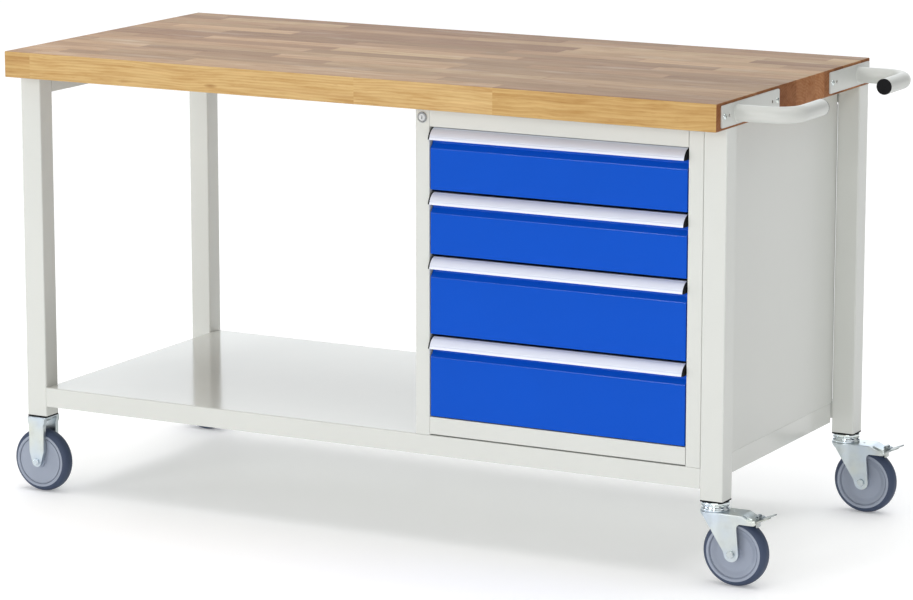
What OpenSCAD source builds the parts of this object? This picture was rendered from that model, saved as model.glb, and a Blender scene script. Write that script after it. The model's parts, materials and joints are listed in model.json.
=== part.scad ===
// Mobile workbench: beech worktop on a steel frame, lower shelf, cabinet with
// four drawers, two push handles, two fixed and two braked swivel casters.
// Millimetres, +X to the right, +Y to the back, +Z up. The origin lies on the
// floor, under the middle of the bench's bounding box.

/* [Worktop] */
// Length of the worktop, left to right
worktop_l = 1500; // [1300:10:2000]
// Depth of the worktop, front to back
worktop_d = 700; // [660:10:800]
// Thickness of the worktop
worktop_t = 50; // [40:1:60]
// Overhang of the worktop in front of the legs
front_overhang = 50; // [20:1:80]
// Distance from each end of the worktop to the legs
end_inset = 1; // [0:0.5:15]

/* [Frame] */
// Width of a leg tube, left to right
leg_w = 45; // [40:1:60]
// Depth of a leg tube, front to back
leg_d = 42; // [40:1:60]
// Wall of the leg tubes and rails
tube_wall = 2; // [1:0.5:2]
// Outer corner radius of the leg tubes
leg_corner_r = 3; // [2.5:0.5:5]
// Length of leg below the shelf
leg_foot = 20; // [10:1:60]
// Height of the rails under the worktop
rail_h = 37; // [25:1:45]
// Thickness of the rails under the worktop
rail_t = 20; // [15:1:30]

/* [Leg plugs] */
// Thickness of a plug's visible flange
plug_flange = 3; // [2:0.5:5]
// Depth of a plug inside its leg
plug_depth = 30; // [20:1:50]
// Clearance between a plug and its tube
plug_clear = 0.2; // [0.1:0.05:0.4]

/* [Shelf] */
// Height of the shelf's folded flanges
shelf_h = 38; // [25:1:60]
// Sheet thickness of the shelf
shelf_sheet = 1.5; // [1:0.5:3]
// Distance from the back of the legs to the back of the shelf
shelf_back_gap = 10; // [0:1:30]
// Gap between a side flange of the shelf and the legs
shelf_notch = 7; // [3:1:15]

/* [Cabinet] */
// Width of the cabinet
cabinet_w = 580; // [450:10:640]
// Sheet thickness of the cabinet
cabinet_sheet = 1.2; // [0.8:0.1:1.5]
// Gap between the cabinet and the rear legs
cabinet_back_gap = 3; // [1:1:20]
// Width of the cabinet's front posts
post_w = 29; // [26:1:40]
// Depth of the lip folded back from each post
post_lip = 12; // [8:1:14]
// Height from the shelf to the lowest drawer front
cabinet_base_h = 37; // [30:1:80]
// Height from the top drawer's grip to the worktop
cabinet_head_h = 40; // [38:1:80]
// Gap under the cabinet's lower front rail
base_gap = 2.5; // [1:0.5:5]
// Overlap of the folded edges that hold the back panel
back_fold = 15; // [10:1:25]

/* [Drawers] */
// Height of each of the two upper drawers
small_drawer_h = 120; // [110:5:200]
// Height of each of the two lower drawers
large_drawer_h = 150; // [110:5:250]
// Gap round the drawer fronts
front_gap = 2; // [1:0.5:3]
// Sheet thickness of the fronts
front_sheet = 1.2; // [0.8:0.1:1.5]
// Sheet thickness of the drawer boxes
box_sheet = 1; // [0.8:0.1:1.5]
// Gap between a drawer box and the cabinet's back panel
box_back_gap = 17; // [5:1:120]
// Clearance under a drawer box
box_under = 8; // [4:1:12]
// Clearance above a drawer box
box_over = 25; // [22:1:30]

/* [Drawer grips] */
// Height of the curved grip
grip_h = 21; // [18:0.5:24]
// Depth of the curved grip, front to back
grip_d = 20; // [17:0.5:22]
// Distance from the cabinet's front back to the grip's top edge
grip_back = 9.5; // [8:0.5:10]
// Wall of the grip
grip_wall = 2; // [1.5:0.5:2.5]
// Radius of the grip's outer curve
grip_r = 26; // [24:1:40]
// Thickness of a grip's end cap
cap_t = 3; // [2:0.5:5]
// Distance from a grip's top down to the fold of the front below it
fold_drop = 38; // [34:1:42]
// Gap between a front and the grip below it
grip_gap = 5.5; // [4:0.5:8]

/* [Drawer slides] */
// Height of a slide
slide_h = 44; // [40:1:46]
// Width of a slide
slide_w = 12; // [11:0.5:14]
// Wall of the slide profiles
slide_wall = 1.5; // [1:0.25:1.75]
// Running gap between the slide profiles
slide_gap = 0.4; // [0.3:0.05:0.5]
// Distance from the front of a drawer box back to its slides
slide_set_back = 14; // [14:1:30]
// Gap between the slides and the cabinet's back panel
slide_back_gap = 8; // [2:1:120]
// Height of a slide's middle above the bottom of its drawer
slide_z = 43; // [36:1:46]
// Length of the two brackets that carry each slide
bracket_l = 40; // [20:1:60]

/* [Lock] */
// Diameter of the lock's front ring
lock_ring_d = 20; // [18:0.5:22]
// Diameter of the turning lock cylinder
lock_cyl_d = 13; // [10:0.5:14]
// Height of the lock above the top drawer's grip
lock_z = 18; // [14:1:22]
// Travel of the locking bar
lock_lift = 8; // [6:0.5:8]
// Width of the locking bar
lock_bar_w = 20; // [16:0.5:21]
// Thickness of the locking bar
lock_bar_t = 2.5; // [2:0.5:3]

/* [Push handles] */
// Diameter of the handle tube
handle_d = 30; // [22:1:32]
// Wall of the handle tube
handle_wall = 2; // [1.5:0.5:3]
// Distance from the worktop's end to the middle of the grip tube
handle_reach = 107; // [90:1:120]
// Bend radius of the handle tube
handle_bend_r = 48; // [35:1:60]
// Length of a handle along the worktop's end
handle_arm_l = 130; // [90:1:180]
// Height of the handle plates
plate_h = 40; // [34:1:40]
// Thickness of the handle plates
plate_t = 3; // [2:0.5:5]
// Corner radius of the handle plates
plate_corner_r = 4; // [3:0.5:8]
// Length of the front handle's plate
front_plate_l = 250; // [180:1:260]
// Length of the rear handle's plate
rear_plate_l = 190; // [180:1:240]
// Distance from the worktop's front to the front plate
front_plate_y = 18; // [5:1:60]
// Distance from the worktop's back to the rear plate
rear_plate_y = 7; // [0:1:60]
// Distance from the front plate's outer end to its tube
front_root = 66; // [53:1:80]
// Distance from the rear plate's outer end to its tube
rear_root = 53; // [53:1:80]
// Distance from a plate's end to its screw
screw_off = 11; // [8:0.5:16]
// Distance from a plate's end to its spare hole
spare_off = 31; // [26:0.5:32]

/* [Casters] */
// Height of a caster, floor to the underside of the plug
caster_h = 152; // [148:1:170]
// Diameter of the wheels
wheel_d = 125; // [100:5:125]
// Width of the tyres
tread_w = 32; // [30:1:34]
// Crown radius of the tyres
crown_r = 14; // [10:0.5:14]
// Diameter of the wheel cores
core_d = 104; // [76:1:106]
// Length of the wheel hubs
hub_l = 40; // [36:0.5:40]
// Diameter of the wheel axles
axle_d = 12; // [10:0.5:14]
// Running clearance of the wheels on their axles
axle_clear = 0.05; // [0.02:0.01:0.1]
// Distance from the swivel axis back to the axle
trail = 42; // [38:1:44]
// Width of the swivel forks
swivel_fork_w = 49; // [47:0.5:52]
// Width of the fixed forks
fixed_fork_w = 50; // [47:0.5:54]
// Sheet thickness of the forks
fork_sheet = 2.5; // [2:0.25:3]
// Diameter of the swivel bearing
bearing_d = 55; // [50:1:58]
// Height of the swivel bearing, from the plug down to the fork
bearing_h = 16; // [14:0.5:18]
// Diameter of the kingpin
kingpin_d = 16; // [12:1:18]
// Running clearance of the kingpin
kingpin_clear = 0.08; // [0.03:0.01:0.1]
// Diameter of the threaded stem in the leg
stem_d = 12; // [10:1:14]
// Width of a fixed fork's arms
fixed_arm_w = 28; // [24:1:32]

/* [Brakes] */
// Distance from the swivel axis to the pedal's pin
pedal_x = 84; // [83:1:88]
// Length of the pedal from its pin
pedal_l = 32; // [26:1:36]
// Upward tilt of the released pedal in degrees
pedal_tilt = 15; // [10:1:20]
// Diameter of the pedal's pin
pedal_pin_d = 5; // [4:0.5:5.5]
// Height of the pin's middle below the top of the fork
pedal_drop = 11.5; // [11:0.5:12]

/* [Hidden] */
$fn = 64;
EPS = 0.01;

// Colours
wood = [0.80, 0.64, 0.44];
light_grey = [0.86, 0.87, 0.85];
blue = [0.10, 0.32, 0.76];
aluminium = [0.84, 0.85, 0.88];
zinc = [0.76, 0.79, 0.79];
black = [0.08, 0.08, 0.08];
rim_grey = [0.60, 0.63, 0.68];
tyre_grey = [0.26, 0.29, 0.38];

// Heights, from the floor up
leg_z0 = caster_h + plug_flange;
shelf_z0 = leg_z0 + leg_foot;
shelf_z1 = shelf_z0 + shelf_h;
rows = [small_drawer_h, small_drawer_h, large_drawer_h, large_drawer_h];
rows_h = rows[0] + rows[1] + rows[2] + rows[3];
drawers_z0 = shelf_z1 + cabinet_base_h;
drawers_z1 = drawers_z0 + rows_h;
worktop_z0 = drawers_z1 + cabinet_head_h;
row_top = [
    drawers_z1,
    drawers_z1 - rows[0],
    drawers_z1 - rows[0] - rows[1],
    drawers_z0 + rows[3]
];

// Frame, measured from the worktop's front left corner
leg_x = [end_inset, worktop_l - end_inset - leg_w];
leg_y = [front_overhang, worktop_d - leg_d];
frame_x0 = leg_x[0] + leg_w;
frame_x1 = leg_x[1];
front_y = leg_y[0];
caster_x = [leg_x[0] + leg_w / 2, leg_x[1] + leg_w / 2];
caster_y = [leg_y[0] + leg_d / 2, leg_y[1] + leg_d / 2];

// Cabinet
cab_x1 = frame_x1;
cab_x0 = cab_x1 - cabinet_w;
cab_y1 = leg_y[1] - cabinet_back_gap;
bay_x0 = cab_x0 + post_w;
bay_x1 = cab_x1 - post_w;
seam = 0.3;

// Drawers
front_x0 = bay_x0 + front_gap;
front_x1 = bay_x1 - front_gap;
box_y0 = front_y + grip_back + front_sheet;
back_panel_y = cab_y1 - 2 * cabinet_sheet;
box_y1 = back_panel_y - box_back_gap;
slide_side = 0.5;
box_x0 = bay_x0 + slide_side + slide_w;
box_x1 = bay_x1 - slide_side - slide_w;
slide_y0 = box_y0 + slide_set_back;
slide_y1 = back_panel_y - slide_back_gap;

// Slide profile, from the fixed web towards the drawer
slide_step = slide_wall + slide_gap;
outer_w = slide_w - slide_gap - slide_wall;

// Locking bar
lock_x = cab_x0 + post_w / 2;
lock_zc = drawers_z1 + lock_z;
lock_back = 18;
bar_gap = 2;
cyl_proud = 1;
bar_y0 = front_y + lock_back + bar_gap;
cam_r = lock_lift / sqrt(2);
cam_pin_d = 5;
cam_clear = 0.3;
hook_h = 8;
hook_gap = 1.5;
hook_reach = 9;
tab_t = 4;
tab_gap = 0.5;
bracket_y0 = bar_y0 + lock_bar_t + seam;

// Casters
wheel_r = wheel_d / 2;
axle_r = axle_d / 2;
bolt_d = 8;
bolt_head_d = 15;
bolt_head_h = 5.5;
nut_h = 7;
bolt_tail = 2;
collar_wall = 2;
crown_z1 = caster_h - bearing_h;
arm_end_r = 14;
fixed_end_r = 9;
head_h = 8;
race_gap = 0.3;
pedal_z = crown_z1 - pedal_drop;
pedal_clear = 0.1;

// Bounding box and origin
bolt_back = fixed_fork_w / 2 + nut_h + bolt_tail;
left_reach = max(0, wheel_r - caster_x[0]);
pedal_reach = pedal_x + pedal_l - (worktop_l - caster_x[1]);
right_reach = max(handle_reach + handle_d / 2, pedal_reach);
rear_reach = max(0, caster_y[1] + bolt_back - worktop_d);
centre_x = (worktop_l + right_reach - left_reach) / 2;
centre_y = (worktop_d + rear_reach) / 2;

// Moves the bench's parts from the worktop's corner to the origin
module bench() translate([-centre_x, -centre_y, 0]) children();

// A box with rounded upright edges
module rounded_box(size, r) {
    translate([r, 0, 0]) cube([size[0] - 2 * r, size[1], size[2]]);
    translate([0, r, 0]) cube([size[0], size[1] - 2 * r, size[2]]);
    for (x = [r, size[0] - r], y = [r, size[1] - r])
        translate([x, y, 0]) cylinder(r = r, h = size[2]);
}

// A box given by two opposite corners
module block(a, b) translate(a) cube([b[0] - a[0], b[1] - a[1], b[2] - a[2]]);

// A cylinder along +Y
module rod_y(d, l, fn = 64) rotate([-90, 0, 0]) cylinder(d = d, h = l, $fn = fn);

// A cylinder along +X
module rod_x(d, l, fn = 64) rotate([0, 90, 0]) cylinder(d = d, h = l, $fn = fn);

// Turns an outline drawn in X and Z into a plate that runs from y0 to y1
module plate_y(y0, y1) translate([0, y1, 0]) rotate([90, 0, 0])
    linear_extrude(y1 - y0) children();

// Turns an outline drawn in Y and Z into a bar that runs from x0 to x1
module bar_x(x0, x1) translate([x0, 0, 0]) rotate([90, 0, 90])
    linear_extrude(x1 - x0) children();

// Worktop
screw_d = 5;
screw_play = 1;
screw_clear = 0.1;
screw_depth = 30;
module worktop() bench() color(wood) difference() {
    translate([0, 0, worktop_z0]) cube([worktop_l, worktop_d, worktop_t]);
    handle_screw_places() translate([-screw_depth, 0, 0])
        rod_x(screw_d + 2 * screw_clear, screw_depth + EPS);
}

// Frame
module leg(ix, iy) bench() color(light_grey)
    translate([leg_x[ix], leg_y[iy], leg_z0]) difference() {
        rounded_box([leg_w, leg_d, worktop_z0 - leg_z0], leg_corner_r);
        translate([tube_wall, tube_wall, -EPS])
            cube([leg_w - 2 * tube_wall, leg_d - 2 * tube_wall,
                worktop_z0 - leg_z0 + 2 * EPS]);
    }

module leg_plugs() bench() color(black)
    for (x = leg_x, y = leg_y) translate([x, y, 0]) difference() {
        union() {
            translate([0, 0, caster_h]) rounded_box([leg_w, leg_d, plug_flange], leg_corner_r);
            translate([tube_wall + plug_clear, tube_wall + plug_clear, caster_h])
                cube([leg_w - 2 * (tube_wall + plug_clear),
                    leg_d - 2 * (tube_wall + plug_clear), plug_flange + plug_depth]);
        }
        translate([leg_w / 2, leg_d / 2, caster_h - EPS])
            cylinder(d = stem_d, h = plug_flange + plug_depth + 2 * EPS);
    }

module rail_tube(a, b, along_y) difference() {
    block(a, b);
    if (along_y) block([a[0] + tube_wall, a[1] - EPS, a[2] + tube_wall],
        [b[0] - tube_wall, b[1] + EPS, b[2] - tube_wall]);
    else block([a[0] - EPS, a[1] + tube_wall, a[2] + tube_wall],
        [b[0] + EPS, b[1] - tube_wall, b[2] - tube_wall]);
}

module top_rails() bench() color(light_grey) {
    rail_tube([frame_x0 - rail_t, leg_y[0] + leg_d, worktop_z0 - rail_h],
        [frame_x0, leg_y[1], worktop_z0], true);
    rail_tube([frame_x0, worktop_d - rail_t, worktop_z0 - rail_h],
        [frame_x1, worktop_d, worktop_z0], false);
}

// Shelf folded from one sheet, with flanges down all round
module lower_shelf() bench() color(light_grey) {
    y1 = worktop_d - shelf_back_gap;
    side_y0 = leg_y[0] + leg_d + shelf_notch;
    side_y1 = leg_y[1] - shelf_notch;
    block([frame_x0, front_y, shelf_z1 - shelf_sheet], [frame_x1, y1, shelf_z1]);
    block([frame_x0, front_y, shelf_z0], [frame_x1, front_y + shelf_sheet, shelf_z1]);
    block([frame_x0, y1 - shelf_sheet, shelf_z0], [frame_x1, y1, shelf_z1]);
    for (x = [frame_x0, frame_x1 - shelf_sheet])
        block([x, side_y0, shelf_z0], [x + shelf_sheet, side_y1, shelf_z1]);
}

// Cabinet side folded round the front post and the back edge; m is 1 at the right
module cabinet_side(m) {
    s = cabinet_sheet;
    translate([m * cab_x1 + (1 - m) * cab_x0, 0, 0]) mirror([m, 0, 0]) difference() {
        union() {
            block([0, front_y, shelf_z1], [s, cab_y1, worktop_z0]);
            block([0, front_y, shelf_z1], [post_w, front_y + s, worktop_z0]);
            block([post_w - s, front_y, shelf_z1], [post_w, front_y + post_lip, worktop_z0]);
            block([0, cab_y1 - s, shelf_z1], [back_fold, cab_y1, worktop_z0]);
        }
        if (m == 0) translate([lock_x - cab_x0, front_y - EPS, lock_zc])
            rod_y(lock_body_d, s + 2 * EPS);
    }
}
module cabinet_left() bench() color(light_grey) cabinet_side(0);
module cabinet_right() bench() color(light_grey) cabinet_side(1);

module cabinet_back() bench() color(light_grey)
    block([cab_x0 + cabinet_sheet, back_panel_y, shelf_z1 + base_gap + cabinet_sheet],
        [cab_x1 - cabinet_sheet, cab_y1 - cabinet_sheet, worktop_z0 - cabinet_sheet]);

// Panel with a front fascia; z0 and z1 are the fascia, the panel lies at zp
module fascia_panel(zp, z0, z1, lip_z) {
    s = cabinet_sheet;
    block([cab_x0 + s, front_y + post_lip, zp], [cab_x1 - s, cab_y1 - s, zp + s]);
    block([bay_x0 + seam, front_y, zp], [bay_x1 - seam, front_y + post_lip + EPS, zp + s]);
    block([bay_x0 + seam, front_y, z0], [bay_x1 - seam, front_y + s, z1]);
    block([bay_x0 + seam, front_y, lip_z], [bay_x1 - seam, front_y + post_lip, lip_z + s]);
}
module cabinet_top() bench() color(light_grey)
    fascia_panel(worktop_z0 - cabinet_sheet, drawers_z1 + front_gap, worktop_z0,
        drawers_z1 + front_gap);
module cabinet_floor() bench() color(light_grey)
    fascia_panel(shelf_z1 + base_gap, shelf_z1 + base_gap, drawers_z0 - front_gap,
        drawers_z0 - front_gap - cabinet_sheet);

// Slide profiles at the left of a bay, in X and Z round the slide's middle
module outer_profile() difference() {
    translate([0, -slide_h / 2]) square([outer_w, slide_h]);
    translate([slide_wall, slide_wall - slide_h / 2]) square([outer_w, slide_h - 2 * slide_wall]);
}
mid_proud = 1;
module mid_profile() difference() {
    h = slide_h - 2 * slide_step;
    translate([slide_step, -h / 2]) square([outer_w + mid_proud - slide_step, h]);
    translate([slide_step + slide_wall, slide_wall - h / 2]) square([outer_w, h - 2 * slide_wall]);
}
module runner_profile() difference() {
    h = slide_h - 4 * slide_step;
    translate([2 * slide_step, -h / 2]) square([slide_w - 2 * slide_step, h]);
    translate([0, slide_wall - h / 2]) square([slide_w - slide_wall, h - 2 * slide_wall]);
}

// Places a left-hand piece at both sides of the drawer bay
module both_sides() {
    translate([bay_x0 + slide_side, 0, 0]) children();
    translate([bay_x1 - slide_side, 0, 0]) mirror([1, 0, 0]) children();
}

// Height of a row's slides
function slide_zc(i) = row_top[i] - rows[i] + slide_z;

module cabinet_slides() bench() color(zinc) {
    reach = post_w - cabinet_sheet + slide_side;
    bracket_h = slide_h - 4 * slide_wall;
    for (i = [0:3]) translate([0, 0, slide_zc(i)]) both_sides() {
        plate_y(slide_y0, slide_y1) outer_profile();
        for (y = [bracket_y0, slide_y1 - bracket_l]) difference() {
            block([-reach, y, -bracket_h / 2], [EPS, y + bracket_l, bracket_h / 2]);
            block([-reach - EPS, y + slide_wall, slide_wall - bracket_h / 2],
                [2 * EPS, y + bracket_l - slide_wall, bracket_h / 2 - slide_wall]);
        }
    }
}

module mid_slides(i) bench() color(zinc) translate([0, 0, slide_zc(i)]) both_sides()
    plate_y(slide_y0, slide_y1) mid_profile();

// Height of the tab beside a drawer that the bar's hook stops
function tab_z(i) = slide_zc(i) + slide_h / 2 + hook_h + 2 * hook_gap;

// Runners at both sides of a drawer, and its locking tab
module drawer_runners(i) bench() color(zinc) {
    tab_y0 = bar_y0 + lock_bar_t + tab_gap;
    translate([0, 0, slide_zc(i)]) both_sides() plate_y(slide_y0, slide_y1) runner_profile();
    block([bay_x0 + slide_side + slide_step, tab_y0, tab_z(i)],
        [box_x0, tab_y0 + tab_t, tab_z(i) + hook_h]);
}

// Lock
lock_body_d = 17;
lock_ring_t = 2;
key_w = 1.6;
key_h = 7;
key_deep = 5;
module lock_housing() bench() color(zinc) translate([lock_x, front_y, lock_zc]) difference() {
    union() {
        translate([0, -lock_ring_t, 0]) rod_y(lock_ring_d, lock_ring_t);
        rod_y(lock_body_d, lock_back);
    }
    translate([0, -lock_ring_t - EPS, 0])
        rod_y(lock_cyl_d + 2 * axle_clear, lock_back + lock_ring_t + 2 * EPS);
}

module lock_cylinder() bench() color(zinc) translate([lock_x, front_y, lock_zc]) {
    difference() {
        translate([0, -lock_ring_t, 0]) rod_y(lock_cyl_d, lock_ring_t + lock_back + cyl_proud);
        block([-key_w / 2, -lock_ring_t - EPS, -key_h / 2], [key_w / 2, key_deep, key_h / 2]);
    }
    rotate([0, 45, 0]) translate([cam_r, lock_back + cyl_proud - EPS, 0])
        rod_y(cam_pin_d, bar_gap - cyl_proud + lock_bar_t + hook_gap);
}

// Bar that slides up behind the post, with a slot for the cylinder's pin
module lock_bar() bench() color(zinc) difference() {
    block([lock_x - lock_bar_w / 2, bar_y0, drawers_z0],
        [lock_x + lock_bar_w / 2, bar_y0 + lock_bar_t, lock_zc + hook_h]);
    slot_h = cam_pin_d + 2 * cam_clear;
    slot_x0 = lock_x + lock_lift / 2 - cam_pin_d / 2 - cam_clear;
    slot_x1 = lock_x + cam_r + cam_pin_d / 2 + cam_clear;
    block([slot_x0, bar_y0 - EPS, lock_zc - lock_lift / 2 - slot_h / 2],
        [slot_x1, bar_y0 + lock_bar_t + EPS, lock_zc - lock_lift / 2 + slot_h / 2]);
}

// Hooks welded to the bar's edge, one under each drawer's tab
module lock_hooks() bench() color(zinc) for (i = [0:3])
    block([lock_x + lock_bar_w / 2, bar_y0, tab_z(i) - hook_gap - hook_h],
        [bay_x0 + hook_reach, bar_y0 + lock_bar_t, tab_z(i) - hook_gap]);

// Drawers
function box_z0(i) = row_top[i] - rows[i] + box_under;
function front_z0(i) = row_top[i] - rows[i] + (i == 3 ? 0 : grip_gap);

module drawer_box(i) bench() color(light_grey) difference() {
    s = box_sheet;
    z1 = row_top[i] - box_over;
    block([box_x0, box_y0, box_z0(i)], [box_x1, box_y1, z1]);
    block([box_x0 + s, box_y0 + s, box_z0(i) + s], [box_x1 - s, box_y1 - s, z1 + EPS]);
}

// Front folded back at the top into a finger recess
module drawer_front(i) bench() color(blue) {
    s = front_sheet;
    z0 = front_z0(i);
    zf = row_top[i] - fold_drop;
    zr = zf + grip_back;
    web_y = front_y + grip_back;
    bar_x(front_x0, front_x1) polygon([
        [front_y, z0], [box_y0, z0], [box_y0, z0 + s], [front_y + s, z0 + s],
        [front_y + s, zf - s / 2], [web_y + s, zr - s / 2],
        [web_y + s, row_top[i] - grip_wall], [web_y, row_top[i] - grip_wall],
        [web_y, zr], [front_y, zf]
    ]);
    for (x = [front_x0, front_x1 - s]) bar_x(x, x + s) polygon([
        [front_y, z0], [box_y0, z0], [box_y0, row_top[i] - grip_wall],
        [web_y, row_top[i] - grip_wall], [web_y, zr], [front_y, zf]
    ]);
}

// Grip section in Y and Z, with its top edge at the origin: a hood that ends in a lip
module hood_outline() {
    chord_a = atan2(grip_h, grip_d);
    mid_h = sqrt(grip_r * grip_r - (grip_h * grip_h + grip_d * grip_d) / 4);
    centre = [-grip_d / 2 + mid_h * sin(chord_a), -grip_h / 2 - mid_h * cos(chord_a)];
    intersection() {
        translate(centre) circle(r = grip_r, $fn = 128);
        polygon([[0, 0], [-grip_d, 0], [-grip_d, -grip_h], [0, -grip_h]]);
    }
}
module hood_section() difference() {
    hood_outline();
    translate([grip_wall, -grip_wall]) hood_outline();
}
module drawer_grip(i) bench() color(aluminium)
    bar_x(front_x0 + cap_t, front_x1 - cap_t) translate([front_y + grip_back, row_top[i]]) {
        hood_section();
        translate([-grip_wall, -fold_drop + 2 * grip_back])
            square([grip_wall, fold_drop - 2 * grip_back]);
    }

module grip_caps(i) bench() color(black) for (x = [front_x0, front_x1 - cap_t])
    bar_x(x, x + cap_t) translate([front_y + grip_back, row_top[i]]) hood_outline();

// Push handles, from the plate's outer end along +Y; +X is away from the worktop
module handle_path(d) {
    straight = handle_reach - handle_bend_r;
    translate([plate_t, 0, 0]) rod_x(d, straight - plate_t);
    translate([straight, handle_bend_r, 0]) rotate([0, 0, -90]) rotate_extrude(angle = 90)
        translate([handle_bend_r, 0]) circle(d = d);
    translate([handle_reach, handle_bend_r, 0]) rod_y(d, handle_arm_l - handle_bend_r);
}
module push_handle(plate_l, root) {
    difference() {
        translate([0, 0, plate_h / 2]) rotate([0, 90, 0])
            rounded_box([plate_h, plate_l, plate_t], plate_corner_r);
        for (y = [screw_off, spare_off, plate_l - spare_off, plate_l - screw_off])
            translate([-EPS, y, 0]) rod_x(screw_d + screw_play, plate_t + 2 * EPS);
    }
    translate([0, root, 0]) difference() {
        handle_path(handle_d);
        handle_path(handle_d - 2 * handle_wall);
    }
}

handle_zc = worktop_z0 + worktop_t / 2;
module at_front_handle() translate([worktop_l, front_plate_y, handle_zc]) children();
module at_rear_handle() translate([worktop_l, worktop_d - rear_plate_y, handle_zc])
    mirror([0, 1, 0]) children();
module handle_screw_places() {
    for (y = [screw_off, front_plate_l - screw_off])
        at_front_handle() translate([0, y, 0]) children();
    for (y = [screw_off, rear_plate_l - screw_off])
        at_rear_handle() translate([0, y, 0]) children();
}
module handle_front() bench() color(light_grey) at_front_handle()
    push_handle(front_plate_l, front_root);
module handle_rear() bench() color(light_grey) at_rear_handle()
    push_handle(rear_plate_l, rear_root);

plug_rim = 1.5;
plug_in = 15;
module tube_plug(root) translate([handle_reach, root + handle_arm_l, 0]) {
    translate([0, -plug_in, 0]) rod_y(handle_d - 2 * handle_wall - 2 * plug_clear, plug_in + EPS);
    rod_y(handle_d, plug_rim);
}
module handle_plugs() bench() color(black) {
    at_front_handle() tube_plug(front_root);
    at_rear_handle() tube_plug(rear_root);
}

// Pan-head screw, with the underside of its head at the origin
pan_d = 11;
pan_h = 3;
pan_edge = 1.2;
tip_gap = 4;
module handle_screws() bench() color(zinc) handle_screw_places()
    translate([plate_t, 0, 0]) rotate([0, 90, 0]) rotate_extrude() polygon([
        [0, tip_gap - screw_depth - plate_t], [screw_d / 2, tip_gap - screw_depth - plate_t],
        [screw_d / 2, 0], [pan_d / 2, 0], [pan_d / 2, pan_edge],
        [pan_d / 2 - pan_edge, pan_h], [0, pan_h]
    ]);

// Wheels, round the axle's middle
tyre_seat = 2;
rim_t = 5;
rim_step = 1;
fixed_web_step = 2.5;
swivel_web_w = 10;
hub_wall = 2;
tyre_in_r = core_d / 2 - tyre_seat;
module tyre_section() {
    flat = tread_w / 2 - crown_r;
    difference() {
        union() {
            translate([0, -tread_w / 2]) square([wheel_r - crown_r, tread_w]);
            translate([0, -flat]) square([wheel_r, 2 * flat]);
            for (z = [-flat, flat]) translate([wheel_r - crown_r, z]) circle(r = crown_r);
        }
        translate([-tread_w, -tread_w]) square([tread_w + tyre_in_r, 2 * tread_w]);
    }
}
module tyre(ix, iy) bench() color(tyre_grey) at_wheel(ix, iy)
    rotate([90, 0, 0]) rotate_extrude($fn = 128) tyre_section();

module wheel_core(ix, iy) bench() color(rim_grey) at_wheel(ix, iy) rotate([90, 0, 0])
    rotate_extrude($fn = 128) {
        rim_w = tread_w - 2 * rim_step;
        web_w = ix == 0 ? tread_w - 2 * fixed_web_step : swivel_web_w;
        difference() {
            union() {
                translate([tyre_in_r - rim_t, -rim_w / 2]) square([rim_t, rim_w]);
                translate([axle_r, -web_w / 2]) square([tyre_in_r - axle_r - rim_t / 2, web_w]);
                translate([axle_r, -hub_l / 2]) square([hub_wall + axle_r, hub_l]);
            }
            translate([0, -hub_l]) square([axle_r + axle_clear, 2 * hub_l]);
        }
    }

// Axle bolt with hex head, collars and nut for a fork of width w, along Y
module axle_bolt(w) {
    inner = w - 2 * fork_sheet;
    translate([0, -inner / 2, 0]) rod_y(axle_d, inner);
    for (y = [-inner / 2, hub_l / 2 + seam])
        translate([0, y, 0]) rod_y(axle_d + 2 * collar_wall, (inner - hub_l) / 2 - seam);
    translate([0, -w / 2 - EPS, 0]) rod_y(bolt_d, w + nut_h + bolt_tail);
    translate([0, -w / 2 - bolt_head_h, 0]) rod_y(bolt_head_d, bolt_head_h, 6);
    translate([0, w / 2, 0]) rod_y(bolt_head_d, nut_h, 6);
}

// Where casters and wheels stand; left casters are fixed, right ones swivel
module at_caster(ix, iy) translate([caster_x[ix], caster_y[iy], 0]) children();
module at_wheel(ix, iy) at_caster(ix, iy) translate([ix * trail, 0, wheel_r]) children();

stem_gap = 1;
module stem() translate([0, 0, caster_h - EPS])
    cylinder(d = stem_d, h = plug_flange + plug_depth - stem_gap);

// Fixed casters: top plate, two folded arms, stem and axle bolt
module fixed_arm_outline() {
    hw = fixed_arm_w / 2;
    taper_z = wheel_r + hw;
    difference() {
        union() {
            translate([0, wheel_r]) circle(r = fixed_end_r);
            polygon([[-hw, caster_h], [hw, caster_h], [hw, taper_z], [fixed_end_r, wheel_r],
                [-fixed_end_r, wheel_r], [-hw, taper_z]]);
        }
        translate([0, wheel_r]) circle(d = bolt_d);
    }
}
fixed_plate_t = 3;
plate_step = 1;
fold_in = 6.5;
module fixed_fork() {
    w = fixed_fork_w;
    hw = fixed_arm_w / 2;
    translate([plate_step - leg_w / 2, -w / 2, caster_h - fixed_plate_t])
        rounded_box([leg_w - 2 * plate_step, w, fixed_plate_t], leg_corner_r);
    for (m = [0, 1]) mirror([0, m, 0]) {
        plate_y(-w / 2, fork_sheet - w / 2) fixed_arm_outline();
        for (x = [-hw, hw - fork_sheet])
            block([x, -w / 2, wheel_r + hw], [x + fork_sheet, fold_in - w / 2, caster_h - EPS]);
    }
}
module fixed_casters() bench() color(zinc) for (iy = [0, 1]) {
    at_caster(0, iy) {
        fixed_fork();
        stem();
    }
    at_wheel(0, iy) axle_bolt(fixed_fork_w);
}

// Upper race, kingpin and stem of the swivel casters
kingpin_foot = 3;
kingpin_step = 4;
race_step = 1.5;
module swivel_heads() bench() color(zinc) for (iy = [0, 1]) at_caster(1, iy) {
    foot_z = crown_z1 - fork_sheet - race_gap - kingpin_foot;
    stem();
    translate([0, 0, caster_h - head_h]) cylinder(d = bearing_d - 2 * race_step, h = head_h);
    translate([0, 0, foot_z]) cylinder(d = kingpin_d, h = caster_h - head_h / 2 - foot_z);
    translate([0, 0, foot_z]) cylinder(d = kingpin_d + 2 * kingpin_step, h = kingpin_foot);
}

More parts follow.
